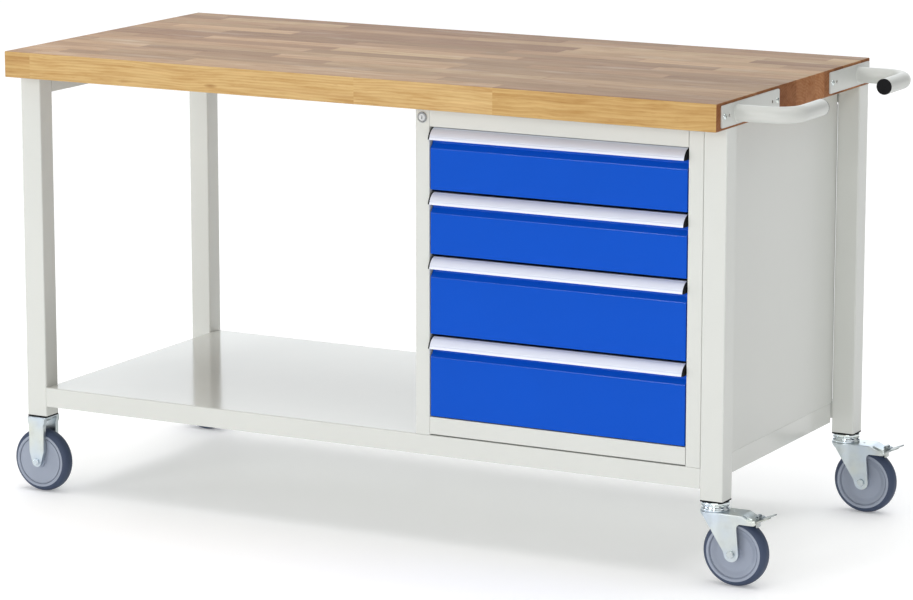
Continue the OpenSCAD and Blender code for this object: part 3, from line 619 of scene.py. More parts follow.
def drawn_plate(name, points, thickness):
    """A flat outline pulled straight into a plate or bar."""
    piece = draw_line(name, points, closed=True)
    bpy.ops.mesh.edge_face_add()
    bpy.ops.mesh.extrude_region_move(TRANSFORM_OT_translate={"value": Vector(thickness)})
    outwards()
    done()
    return piece


def turned(name, outline, centre, axis, out, facets=64, closed=False):
    """A piece turned on the lathe: outline holds (radius, height) pairs."""
    centre, axis, out = Vector(centre), Vector(axis), Vector(out)
    points = [centre + out * radius + axis * height for radius, height in outline]
    piece = draw_line(name, points, closed)
    bpy.ops.mesh.spin(steps=facets, angle=math.tau, center=centre, axis=axis)
    weld()
    outwards()
    done()
    return piece


def joined(name, pieces):
    """Makes one piece of several."""
    work_on(pieces[0])
    for piece in pieces:
        piece.select_set(True)
    if len(pieces) > 1:
        bpy.ops.object.join()
    pieces[0].name = pieces[0].data.name = name
    return pieces[0]


def cut(piece, tool, operation="DIFFERENCE"):
    """Cuts piece with tool, or keeps what both share, and throws the tool away."""
    apply_modifier(piece, "BOOLEAN", operation=operation, object=tool, solver="EXACT")
    work_on(tool)
    bpy.ops.object.delete()
    work_on(piece)
    edit(piece)
    weld()
    bpy.ops.mesh.dissolve_limited(angle_limit=FLAT)
    done()
    return piece


def copy_of(piece, name, step=(0, 0, 0)):
    """A second piece with its own mesh, a step away."""
    work_on(piece)
    bpy.ops.object.duplicate(linked=False)
    made = bpy.context.object
    made.name = made.data.name = name
    bpy.ops.transform.translate(value=step)
    bpy.ops.object.transform_apply(location=True, rotation=True, scale=True)
    return made


def fit(piece, nodes, finish=None):
    """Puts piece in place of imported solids: it moves with their body and takes their finish."""
    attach(piece, BODY_OF[nodes[0]])
    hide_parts(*nodes)
    piece.data.materials.clear()
    piece.data.materials.append(FINISHES[finish or SLOT_OF[nodes[0]]])
    return piece


def middle(node):
    low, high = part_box(node)
    return (low + high) / 2


def near(a, b):
    return abs(a - b) < 1e-4


def arc(centre, radius, start, end, steps):
    """Points on an arc, as pairs; angles in degrees."""
    return [(centre[0] + radius * math.cos(math.radians(start + (end - start) * i / steps)),
             centre[1] + radius * math.sin(math.radians(start + (end - start) * i / steps)))
            for i in range(steps + 1)]


# ---------------------------------------------------------------- pieces
class MakeWorktop(bpy.types.Operator):
    """Glues up the worktop and eases its edges"""
    bl_idname = "bench.worktop"
    bl_label = "Worktop"

    def execute(self, context):
        low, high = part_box("worktop")
        top = block("worktop_board", low, high)
        edit(top, "EDGE")
        bpy.ops.mesh.select_all(action="SELECT")
        bevel(context.scene.bench_sizes.top_edge, 3)
        done()
        fit(ease_edges(top, 0), ["worktop"], "wood")
        return {"FINISHED"}


class MakeFrame(bpy.types.Operator):
    """Makes the legs, their plugs, the rails and the shelf"""
    bl_idname = "bench.frame"
    bl_label = "Frame"

    def execute(self, context):
        sizes = context.scene.bench_sizes
        for node in ("leg_front_left", "leg_rear_left", "leg_front_right", "leg_rear_right"):
            fit(ease_edges(from_solid(node), 0), [node])
        fit(ease_edges(from_solid("leg_plugs"), 0.0006), ["leg_plugs"])
        fit(ease_edges(from_solid("top_rails"), 0.0009), ["top_rails"])
        shelf = from_solid("lower_shelf")
        low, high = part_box("lower_shelf")

        def long_fold(a, b):
            level = near(a.z, high.z) and near(b.z, high.z)
            return level and any(near(a.y, y) and near(b.y, y) for y in (low.y, high.y))

        round_folds(shelf, sizes.fold_radius, long_fold, 4)
        fit(ease_edges(shelf, sizes.sheet_edge), ["lower_shelf"], "shelf_paint")
        return {"FINISHED"}


class MakeCabinet(bpy.types.Operator):
    """Folds the cabinet's sides, back, top and floor"""
    bl_idname = "bench.cabinet"
    bl_label = "Cabinet"

    def execute(self, context):
        sizes = context.scene.bench_sizes
        for node in ("cabinet_left", "cabinet_right"):
            side = from_solid(node)
            low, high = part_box(node)

            def post_fold(a, b, low=low, high=high):
                upright = near(a.x, b.x) and near(a.y, b.y)
                return upright and near(a.y, low.y) and (near(a.x, low.x) or near(a.x, high.x))

            round_folds(side, sizes.fold_radius * 0.8, post_fold, 3)
            fit(ease_edges(side, sizes.sheet_edge), [node])
        for node in ("cabinet_back", "cabinet_top", "cabinet_floor"):
            fit(ease_edges(from_solid(node), sizes.sheet_edge), [node])
        for node in ("cabinet_right", "cabinet_left"):
            self.close_gap(node)
        return {"FINISHED"}

    def close_gap(self, node):
        """Spacer strip behind a side panel, set in from the panel's outer face."""
        low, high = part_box(node)
        way = 1 if node == "cabinet_right" else -1
        face = high.x if way > 0 else low.x
        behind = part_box("leg_rear_right")[0].y
        set_in, depth = 0.0022, 0.016
        near_x, far_x = sorted((face - way * set_in, face - way * depth))
        # The right leg stands outside its panel, so that strip runs on behind the leg's front
        past_leg = 0.006 if way > 0 else -0.0003
        under_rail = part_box("top_rails")[0].z - MM
        strip = block(f"{node}_spacer", (near_x, high.y + 0.0001, low.z + MM),
                      (far_x, behind + past_leg, under_rail))
        fit(ease_edges(strip, CUT_EDGE), [node])


class MakeDrawers(bpy.types.Operator):
    """Folds the drawer boxes and their blue fronts"""
    bl_idname = "bench.drawers"
    bl_label = "Drawers"

    def execute(self, context):
        sizes = context.scene.bench_sizes
        for k in DRAWERS:
            box = f"drawer_box_{k}"
            fit(ease_edges(from_solid(box), CUT_EDGE), [box])
            node = f"drawer_front_{k}"
            low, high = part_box(node)

            def face_edge(a, b, low=low, high=high):
                return near(a.y, low.y) and near(b.y, low.y)

            front = from_solid(node)
            round_folds(front, sizes.front_fold, face_edge, 3)
            fit(ease_edges(front, CUT_EDGE), [node])
        return {"FINISHED"}


class MakeGrips(bpy.types.Operator):
    """Draws the aluminium grip once, copies it for each drawer and caps its ends"""
    bl_idname = "bench.grips"
    bl_label = "Grips"

    def execute(self, context):
        sizes = context.scene.bench_sizes
        low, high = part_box("drawer_grip_1")
        top, back, depth = high.z, high.y, high.y - low.y
        drop = 21 * MM
        radius, wall, lip = sizes.grip_radius, sizes.grip_wall, sizes.grip_lip
        chord = math.atan2(drop, depth)
        sagitta = math.sqrt(radius ** 2 - (depth ** 2 + drop ** 2) / 4)
        centre = (-depth / 2 + sagitta * math.sin(chord), -drop / 2 - sagitta * math.cos(chord))
        start = math.degrees(math.atan2(-centre[1], -centre[0]))
        end = math.degrees(math.atan2(-drop - centre[1], -depth - centre[0]))
        outer = arc(centre, radius, start, end, 22)
        sunk = arc(centre, radius - sizes.grip_line, start, end, 44)
        for line in (36, 6):
            beside = arc(centre, radius, start, end, 44)
            place = line // 2
            outer[place:place + 1] = [beside[line - 1], sunk[line], beside[line + 1]]
        inner_start = math.degrees(math.atan2(-drop + wall - centre[1], -depth + wall - centre[0]))
        inner = arc(centre, radius - wall, inner_start, start + 2.6, 18)
        nose = [(-depth, -drop), (-depth + lip, -drop), (-depth + lip + 0.0004, -drop + 0.0007),
                (-depth + lip, -drop + 0.0014), (-depth + wall + 0.0004, -drop + 0.0014)]
        web_foot = low.z - top
        web = [(-wall, inner[-1][1]), (-wall, web_foot), (0.0, web_foot)]
        outline = []
        for pair in outer[:-1] + nose + inner + web:
            if not outline or math.dist(pair, outline[-1]) > 0.0002:
                outline.append(pair)
        points = [(low.x, back + y, top + z) for y, z in outline]
        grip = drawn_plate("drawer_grip_1_finished", points, (high.x - low.x, 0, 0))
        ease_edges(grip, 0.00025, 2, 50)
        for k in DRAWERS:
            node = f"drawer_grip_{k}"
            step = (0, 0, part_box(node)[1].z - top)
            made = grip if k == 1 else copy_of(grip, f"{node}_finished", step)
            fit(made, [node])
            caps = f"grip_caps_{k}"
            fit(ease_edges(from_solid(caps), 0.0005), [caps])
        return {"FINISHED"}


class MakeSlides(bpy.types.Operator):
    """Finishes the drawer slides"""
    bl_idname = "bench.slides"
    bl_label = "Slides"

    def execute(self, context):
        fit(ease_edges(from_solid("cabinet_slides"), CUT_EDGE), ["cabinet_slides"])
        for k in DRAWERS:
            for node in (f"mid_slides_{k}", f"drawer_runners_{k}"):
                fit(ease_edges(from_solid(node), CUT_EDGE), [node])
        return {"FINISHED"}


class MakeLock(bpy.types.Operator):
    """Finishes the lock and its bar"""
    bl_idname = "bench.lock"
    bl_label = "Lock"

    def execute(self, context):
        # The lock's ring takes chrome painted dark, a painted reflection.
        fit(ease_edges(from_solid("lock_housing"), 0.0012, 4), ["lock_housing"], "lock_ring")
        fit(ease_edges(from_solid("lock_cylinder"), 0.0004), ["lock_cylinder"], "lock_face")
        for node in ("lock_bar", "lock_hooks"):
            fit(ease_edges(from_solid(node), CUT_EDGE), [node])
        return {"FINISHED"}


class MakeHandles(bpy.types.Operator):
    """Bends and welds the push handles, and drives their screws"""
    bl_idname = "bench.handles"
    bl_label = "Push handles"

    def execute(self, context):
        sizes = context.scene.bench_sizes
        self.make("front", 1, sizes.front_root, sizes.front_plate, sizes)
        self.make("rear", -1, sizes.rear_root, sizes.rear_plate, sizes)
        plugs = from_solid("handle_plugs")
        fit(ease_edges(plugs, 0.0004), ["handle_plugs"])
        return {"FINISHED"}

    def make(self, which, way, root, plate_length, sizes):
        """One handle: way is 1 where its tube runs to the back, and -1 where it runs forward."""
        node = f"handle_{which}"
        low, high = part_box(node)
        start_y = low.y if way > 0 else high.y
        z = (low.z + high.z) / 2
        plate_x = low.x + sizes.plate_thickness
        diameter = 2 * (high.x - middle("handle_plugs").x)
        reach = middle("handle_plugs").x
        open_y = start_y + way * (root + self.arm(which, way, root, start_y))
        root_y = start_y + way * root

        end_y = start_y + way * plate_length
        plate = block(f"{node}_plate", (low.x, min(start_y, end_y), low.z),
                      (plate_x, max(start_y, end_y), high.z))
        edit(plate, "EDGE")
        pick_edges(plate, lambda a, b: near(a.y, b.y) and near(a.z, b.z))
        bevel(sizes.plate_corner, 6)
        done()
        offsets = (sizes.screw_offset, sizes.spare_offset, plate_length - sizes.spare_offset,
                   plate_length - sizes.screw_offset)
        for offset in offsets:
            y = start_y + way * offset
            cut(plate, rod("drill", (low.x - MM, y, z), (plate_x + MM, y, z), 0.006))
        ease_edges(plate, 0.0005)

        tube = self.bend_tube(f"{node}_tube", plate_x, root_y, z, reach, open_y, way, diameter,
                              sizes)
        # Plate and tube take the darker handle paint, a painted shade.
        fit(plate, [node], "tube_paint")
        fit(tube, [node], "tube_paint")
        for number, offset in enumerate((offsets[0], offsets[3]), 1):
            y = start_y + way * offset
            screw = self.make_screw(f"{node}_screw_{number}", (plate_x, y, z))
            fit(screw, ["handle_screws"], "polished_zinc")

    def arm(self, which, way, root, start_y):
        """Length of the tube from its root to its open end."""
        low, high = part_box("handle_plugs")
        plug_depth = 0.015
        inner = low.y if which == "front" else high.y
        return abs(inner + way * plug_depth - start_y) - root

    def bend_tube(self, name, x, y, z, reach, open_y, way, diameter, sizes):
        """Straight out of the plate, round the bend and along the worktop's end."""
        nothing_selected()
        bpy.ops.mesh.primitive_circle_add(vertices=48, radius=diameter / 2, location=(x, y, z),
                                          rotation=(0, math.pi / 2, 0))
        tube = named(name)
        edit(tube)
        bpy.ops.mesh.select_all(action="SELECT")
        centre = Vector((x, y, z))
        bead = 1.08
        bpy.ops.transform.resize(value=(1, bead, bead), center_override=centre)
        for step, share in ((0.0008, 0.965), (0.0010, 0.95), (0.0012, 0.965)):
            bpy.ops.mesh.extrude_region_move(TRANSFORM_OT_translate={"value": (step, 0, 0)})
            bpy.ops.transform.resize(value=(1, share, share), center_override=centre)
        bpy.ops.transform.resize(value=(1,) + (1 / (bead * 0.965 * 0.95 * 0.965),) * 2,
                                 center_override=centre)
        straight = reach - sizes.handle_bend - x - 0.003
        bpy.ops.mesh.extrude_region_move(TRANSFORM_OT_translate={"value": (straight, 0, 0)})
        pivot = (reach - sizes.handle_bend, y + way * sizes.handle_bend, z)
        bpy.ops.mesh.spin(steps=24, angle=-math.pi / 2, center=pivot, axis=(0, 0, way))
        last = open_y - (y + way * sizes.handle_bend)
        bpy.ops.mesh.extrude_region_move(TRANSFORM_OT_translate={"value": (0, last, 0)})
        weld()
        outwards()
        done()
        apply_modifier(tube, "SOLIDIFY", thickness=sizes.handle_wall, offset=-1.0)
        return ease_edges(tube, 0.0004, 2, 60)

    def make_screw(self, name, place):
        """Pan head with a cross recess."""
        head = turned(name, [(0, 0.003), (0.0022, 0.0029), (0.0038, 0.0024), (0.0049, 0.0016),
                             (0.0055, 0.0006), (0.0055, 0.0), (0, 0.0)],
                      place, ALONG_X, ALONG_Y, 32)
        x, y, z = place
        for wide, tall in ((0.0005, 0.0026), (0.0026, 0.0005)):
            cut(head, block("driver", (x + 0.0012, y - wide, z - tall), (x + 0.004, y + wide, z + tall)))
        return ease_edges(head, FINE_EDGE)


class MakeFixedCasters(bpy.types.Operator):
    """Presses the fixed casters' plates and arms, and bolts them"""
    bl_idname = "bench.fixed_casters"
    bl_label = "Fixed casters"

    def execute(self, context):
        sizes = context.scene.bench_sizes
        for end in ENDS:
            leg, wheel = middle(f"leg_{end}_left"), middle(f"tyre_{end}_left")
            plug_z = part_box("leg_plugs")[0].z
            for piece in self.press(end, leg, wheel, plug_z, sizes):
                fit(piece, ["fixed_casters"])
            for piece in make_bolt(f"fixed_{end}", wheel, 0.050):
                fit(piece, ["fixed_casters"], "bolt_zinc")
        return {"FINISHED"}

    def press(self, end, leg, wheel, plug_z, sizes):
        """Top plate with a pressed dome, and the two arms with folded edges."""
        x, y, z = leg.x, leg.y, wheel.z
        half, sheet, wide = 0.025, sizes.fork_sheet, sizes.arm_width / 2
        plate = block(f"fixed_plate_{end}", (x - 0.0215, y - half, plug_z - 0.003),
                      (x + 0.0215, y + half, plug_z))
        edit(plate, "EDGE")
        pick_edges(plate, lambda a, b: near(a.x, b.x) and near(a.y, b.y))
        bevel(0.003, 4)
        done()
        ease_edges(plate, 0.0010, 3)
        dome = turned(f"fixed_dome_{end}", [(0.0185, 0.0), (0.0180, -0.0035), (0.0155, -0.0060),
                      (0.012, -0.0072), (0, -0.0075)], (x, y, plug_z - 0.0028), UP, ALONG_X, 48)
        ease_edges(dome, 0)
        top = plug_z - 0.003
        pieces = [plate, dome]
        tip = arc((x, z), 0.0088, 205, 335, 10)
        shoulder = [(x + wide, z + wide * 1.45), (x + wide, top - 0.0135),
                    (x + wide + 0.0008, top - 0.0105), (x + wide + 0.0026, top - 0.0070),
                    (x + wide + 0.0030, top)]
        left = [(2 * x - px, pz) for px, pz in reversed(shoulder)]
        outline = tip + shoulder + left
        arm_pieces = []
        for way in (-1, 1):
            name = f"fixed_arm_{end}_{'near' if way < 0 else 'far'}"
            face_y = y + way * half
            arm = draw_line(name, [(px, face_y, pz) for px, pz in outline], closed=True)
            bpy.ops.mesh.edge_face_add()
            bpy.ops.mesh.select_mode(type="EDGE")
            fold_low, fold_high = z + wide * 1.45 - WELD, top - 0.0100
            pick_edges(arm, lambda a, b: min(a.z, b.z) > fold_low and max(a.z, b.z) < fold_high
                       and abs(a.x - b.x) < 0.003)
            bpy.ops.mesh.extrude_region_move(
                TRANSFORM_OT_translate={"value": (0, -way * 0.0065, 0)})
            outwards()
            done()
            round_folds(arm, sizes.fold_radius, lambda a, b: near(a.y, face_y) and near(b.y, face_y)
                        and near(abs(a.x - x), wide) and near(abs(b.x - x), wide), 4)
            self.face_out(arm, way)
            apply_modifier(arm, "SOLIDIFY", thickness=sheet, offset=-1.0)
            ease_edges(arm, 0.0004)
            arm_pieces.append(arm)
        return pieces + arm_pieces

    def face_out(self, arm, way):
        """Turns the flat of an open arm away from the wheel."""
        edit(arm, "FACE")
        shape = bmesh.from_edit_mesh(arm.data)
        largest = max(shape.faces, key=lambda face: face.calc_area())
        wrong = largest.normal.y * way < 0
        bpy.ops.mesh.select_all(action="SELECT")
        if wrong:
            bpy.ops.mesh.flip_normals()
        done()


def make_bolt(name, wheel, width):
    """Hexagon bolt through a wheel, with its nut and spacers, for a fork of that width."""
    x, y, z = wheel
    half, across_corners = width / 2, 0.0148
    head = rod(f"{name}_bolt_head", (x, y - half - 0.0055, z), (x, y - half - 0.0008, z),
               across_corners, 6, math.radians(12))
    washer = turned(f"{name}_washer", [(0.003, 0), (0.0074, 0), (0.0074, 0.0008), (0.003, 0.0008)],
                    (x, y - half - 0.0008, z), ALONG_Y, ALONG_X, 40, closed=True)
    nut = rod(f"{name}_nut", (x, y + half, z), (x, y + half + 0.007, z), across_corners, 6,
              math.radians(20))
    tail = rod(f"{name}_bolt_tail", (x, y + half, z), (x, y + half + 0.009, z), 0.008, 32)
    sleeve = rod(f"{name}_sleeve", (x, y - half + 0.0026, z), (x, y + half - 0.0026, z), 0.012, 48)
    spacers = [turned(f"{name}_spacer_{side}", [(0.006, 0), (0.008, 0), (0.008, 0.0016), (0.006, 0.0016)],
                      (x, start, z), ALONG_Y, ALONG_X, 40, closed=True)
               for side, start in ((1, y - half + 0.0026), (2, y + half - 0.0042))]
    for piece in (head, nut):
        ease_edges(piece, 0.0009, 3, 50)
    for piece in (washer, tail, sleeve, *spacers):
        ease_edges(piece, FINE_EDGE)
    return [head, washer, nut, tail, sleeve, *spacers]


class MakeSwivelCasters(bpy.types.Operator):
    """Presses the swivel forks, turns their bearing rings and fits the brakes"""
    bl_idname = "bench.swivel_casters"
    bl_label = "Swivel casters"

    def execute(self, context):
        sizes = context.scene.bench_sizes
        plug_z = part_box("leg_plugs")[0].z
        for end in ENDS:
            leg, wheel = middle(f"leg_{end}_right"), middle(f"tyre_{end}_right")
            fork_node = f"swivel_fork_{end}"
            low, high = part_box(fork_node)
            crown_z = high.z - 0.0077
            axis = Vector((leg.x, leg.y, crown_z))
            half = leg.y - low.y - 0.0055
            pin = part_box(f"brake_pedal_{end}")[0].x + 0.005
            fork = self.press_fork(f"swivel_fork_{end}_pressed", axis, wheel, half, pin, sizes)
            fit(fork, [fork_node])
            upper = turned(f"swivel_race_upper_{end}", [
                (0.016, 0.0), (0.0246, 0.0), (0.0258, -0.0012), (0.0260, -0.0034),
                (0.0250, -0.0046), (0.0250, -0.0052), (0.0260, -0.0062), (0.0256, -0.0074),
                (0.0240, -0.0080), (0.016, -0.0080)],
                (axis.x, axis.y, plug_z), UP, ALONG_X, RACE_FACETS, closed=True)
            fit(ease_edges(upper, 0), ["swivel_heads"], "polished_zinc")
            lower = turned(f"swivel_race_lower_{end}", [
                (0.012, 0.0), (0.0258, 0.0), (0.0264, 0.0010), (0.0264, 0.0034), (0.0256, 0.0048),
                (0.0246, 0.0056), (0.0240, 0.0077), (0.012, 0.0077)],
                (axis.x, axis.y, crown_z), UP, ALONG_X, RACE_FACETS, closed=True)
            fit(ease_edges(lower, 0), [fork_node], "polished_zinc")
            for piece in make_bolt(f"swivel_{end}", wheel, 2 * half):
                fit(piece, [fork_node], "bolt_zinc")
            pin_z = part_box(f"brake_pedal_{end}")[0].z + 0.012
            rivet = rod(f"brake_pin_{end}", (pin, leg.y - half - 0.0008, pin_z),
                        (pin, leg.y + half + 0.0008, pin_z), 0.005, 32)
            fit(ease_edges(rivet, CUT_EDGE), [fork_node], "polished_zinc")
            for piece in self.press_details(end, axis, half, pin):
                fit(piece, [fork_node])
            node = f"brake_pedal_{end}"
            # The pedal takes the darker zinc, a painted shade.
            fit(self.press_pedal(f"{node}_finished", axis, half, pin, pin_z, sizes), [node],
                "lever_zinc")
        return {"FINISHED"}

    def press_fork(self, name, axis, wheel, half, pin, sizes):
        """Folds the fork from one sheet: round under the bearing, flared into two flat arms."""
        nose, depth, rear = sizes.fork_nose, 0.092, pin + 0.007
        flare = [(0.0200, 0.0), (0.0180, 0.00005), (0.0160, 0.0002), (0.0140, 0.0005),
                 (0.0120, 0.0010)]
        side = [(rear - axis.x, half)] + [(x, half + out) for x, out in flare]
        turns = [math.radians(a) for a in range(69, -91, -9)] + [math.radians(-90)]
        side += [(nose * math.cos(math.pi / 2 - a), nose * math.sin(math.pi / 2 - a))
                 for a in turns if nose * math.sin(a) < 0.0105]
        path = [(axis.x + x, axis.y - y, axis.z) for x, y in side]
        path += [(axis.x + x, axis.y + y, axis.z) for x, y in reversed(side[:-1])]
        fork = drawn_plate(name, path, (0, 0, -depth))
        cut(fork, self.side_shape(axis, wheel, pin), "INTERSECT")
        edit(fork, "EDGE")
        pick_creases(fork, lambda a, b: a.z > 0.3 and abs(b.z) < 0.05 and
                     (abs(b.y) > 0.05 or b.x < -0.9))
        bevel(sizes.fold_radius, 4)
        bpy.ops.mesh.select_mode(type="FACE")
        pick_faces(fork, lambda c, n: abs(n.y) < 0.05 and n.z < 0.3 and
                   not (n.x < 0 and abs(n.z) < 0.02))
        bpy.ops.mesh.delete(type="FACE")
        done()
        apply_modifier(fork, "SOLIDIFY", thickness=sizes.fork_sheet, offset=-1.0)
        slot_x, slot_y = pin - 0.022, axis.y - half + 0.0065
        cut(fork, block("slot", (slot_x, slot_y, 0.119), (slot_x + 0.019, slot_y + 0.0042, 0.14)))
        return ease_edges(fork, 0.0004, 2, 45)

    def side_shape(self, axis, wheel, pin):
        """Bar with the fork's side outline."""
        x, top = axis.x, axis.z
        end_r = 0.014
        outline = [(x - 0.0290, top + 0.001), (x - 0.0285, top - 0.0022), (x - 0.0252, 0.1325)]
        outline += [(x - 0.0120, 0.1260), (x - 0.0043, 0.1160), (x + 0.0024, 0.1060),
                    (x + 0.0082, 0.0960), (x + 0.0137, 0.0860), (x + 0.0201, 0.0760),
                    (x + 0.0262, 0.0668)]
        outline += arc((wheel.x, wheel.z), end_r, 206, 360, 16)
        outline += [(wheel.x + 0.0098, 0.1075)]
        outline += [(wheel.x + 0.0178 + 0.008 * math.cos(math.radians(a)),
                     0.1115 + 0.008 * math.sin(math.radians(a))) for a in range(180, 84, -16)]
        outline += [(pin - 0.004, 0.1193)]
        outline += arc((pin, 0.1245), 0.005, 262, 440, 10)
        outline += [(pin - 0.008, 0.1284), (pin - 0.0155, 0.1306), (pin - 0.0215, 0.1338),
                    (pin - 0.0250, 0.1354), (pin - 0.0280, top), (pin - 0.0281, top + 0.001)]
        return drawn_plate("side_shape", [(px, axis.y - 0.04, pz) for px, pz in outline],
                           (0, 0.08, 0))

    def press_pedal(self, name, axis, half, pin, pin_z, sizes):
        """Hub, two rounded lobes with a notch between them, a rolled stop and the shoe."""
        wide = half - sizes.fork_sheet - 0.0004
        hub = turned(f"{name}_hub", [(0.0028, 0.0), (0.0050, 0.0), (0.0050, 2 * wide),
                     (0.0028, 2 * wide)], (pin, axis.y - wide, pin_z), ALONG_Y, ALONG_X, 40, True)
        lobe_r, lobe_y, tip = 0.0072, wide - 0.0080, 0.0318
        edge = [(0.0035, -(lobe_y + lobe_r))]
        edge += [(x, y - lobe_y) for x, y in arc((tip - lobe_r, 0.0), lobe_r, -90, 90, 12)]
        edge += [(0.0150 - 0.0035 * math.cos(math.radians(a)), -0.0035 * math.sin(math.radians(a)))
                 for a in range(60, -61, -20)]
        edge += [(x, y + lobe_y) for x, y in arc((tip - lobe_r, 0.0), lobe_r, -90, 90, 12)]
        edge += [(0.0035, lobe_y + lobe_r)]
        tread = drawn_plate(f"{name}_tread", [(pin + x, axis.y + y, pin_z - 0.00125)
                            for x, y in edge], (0, 0, 0.0025))
        edit(tread)
        bpy.ops.mesh.select_all(action="SELECT")
        bpy.ops.transform.rotate(value=sizes.pedal_tilt, orient_axis="Y",
                                 center_override=(pin, axis.y, pin_z))
        done()
        roll = turned(f"{name}_roll", [(0.0020, 0.0), (0.0042, 0.0), (0.0042, 0.014),
                      (0.0020, 0.014)], (pin + 0.0005, axis.y - 0.007, pin_z + 0.0075),
                      ALONG_Y, ALONG_X, 32, True)
        shoe = block(f"{name}_shoe", (pin - 0.0015, axis.y - 0.008, pin_z - 0.012),
                     (pin + 0.0015, axis.y + 0.008, pin_z - 0.004))
        for piece in (hub, tread, roll, shoe):
            ease_edges(piece, 0.0006, 3)
        return joined(name, [tread, hub, roll, shoe])

    def press_details(self, end, axis, half, pin):
        """Lever plate in the housing's slot, and the rivet on the crown."""
        x, y = pin - 0.0212, axis.y - half + 0.0076
        outline = [(x, 0.1225), (x + 0.0172, 0.1225), (x + 0.0172, 0.1296), (x + 0.0130, 0.1313),
                   (x + 0.0060, 0.1340), (x, 0.1362)]
        lever = drawn_plate(f"brake_lever_{end}", [(px, y, pz) for px, pz in outline],
                            (0, 0.0020, 0))
        rivet = turned(f"crown_rivet_{end}", [(0.0022, -0.0003), (0.0020, 0.0004),
                       (0.0013, 0.0009), (0.0, 0.0011)], (axis.x + 0.0380, axis.y, axis.z),
                       UP, ALONG_X, 24)
        return [ease_edges(lever, 0.0005), ease_edges(rivet, 0)]


class MakeWheels(bpy.types.Operator):
    """Turns the wheels and their tyres"""
    bl_idname = "bench.wheels"
    bl_label = "Wheels"

    def execute(self, context):
        sizes = context.scene.bench_sizes
        for side in ("left", "right"):
            first = middle(f"tyre_front_{side}")
            core = self.turn_core(f"wheel_core_front_{side}_finished", first, side, sizes)
            tyre = self.turn_tyre(f"tyre_front_{side}_finished", first, sizes)
            step = middle(f"tyre_rear_{side}") - first
            for end in ENDS:
                nodes = {"core": f"wheel_core_{end}_{side}", "tyre": f"tyre_{end}_{side}"}
                for key, made in (("core", core), ("tyre", tyre)):
                    if end == "rear":
                        made = copy_of(made, f"{nodes[key]}_finished", step)
                    fit(made, [nodes[key]])
        return {"FINISHED"}

    def turn_core(self, name, centre, side, sizes):
        """Disc with a hub boss, a groove and a raised rim; the same on both faces."""
        g = sizes.groove
        if side == "left":
            face = [(0.00605, 0.0200), (0.0125, 0.0200), (0.0130, 0.0195), (0.0132, 0.0156),
                    (0.0140, 0.0148), (g - 0.0012, 0.0148), (g - 0.0007, 0.0143), (g - 0.0005, 0.0125),
                    (g + 0.0005, 0.0125), (g + 0.0007, 0.0143)]
        else:
            face = [(0.00605, 0.0200), (0.0105, 0.0200), (0.0112, 0.0194), (0.0125, 0.0100),
                    (0.0140, 0.0086), (0.0340, 0.0070), (0.0365, 0.0076), (0.0385, 0.0090),
                    (0.0435, 0.0118), (g - 0.0012, 0.0122), (g - 0.0006, 0.0112), (g + 0.0002, 0.0112),
                    (g + 0.0008, 0.0140)]
        face += [(g + 0.0012, 0.0152), (g + 0.0022, 0.0160), (0.0518, 0.0160), (0.0528, 0.0153),
                 (0.0528, 0.0149)]
        face += [(0.0502, 0.0149)]
        outline = face + [(radius, -height) for radius, height in reversed(face)]
        core = turned(name, outline, centre, ALONG_Y, ALONG_X, sizes.facets, closed=True)
        return ease_edges(core, 0)

    def turn_tyre(self, name, centre, sizes):
        """Rounded tread with a soft crown."""
        wheel_r, crown_r, flat = 0.0625, 0.014, 0.002
        crown = arc((wheel_r - crown_r, flat), crown_r, 0, 80, 12)
        side = crown + [(0.0503, 0.0153)]
        outline = [(r, -h) for r, h in reversed(side)] + side
        tyre = turned(name, outline, centre, ALONG_Y, ALONG_X, sizes.facets, closed=True)
        return ease_edges(tyre, 0)


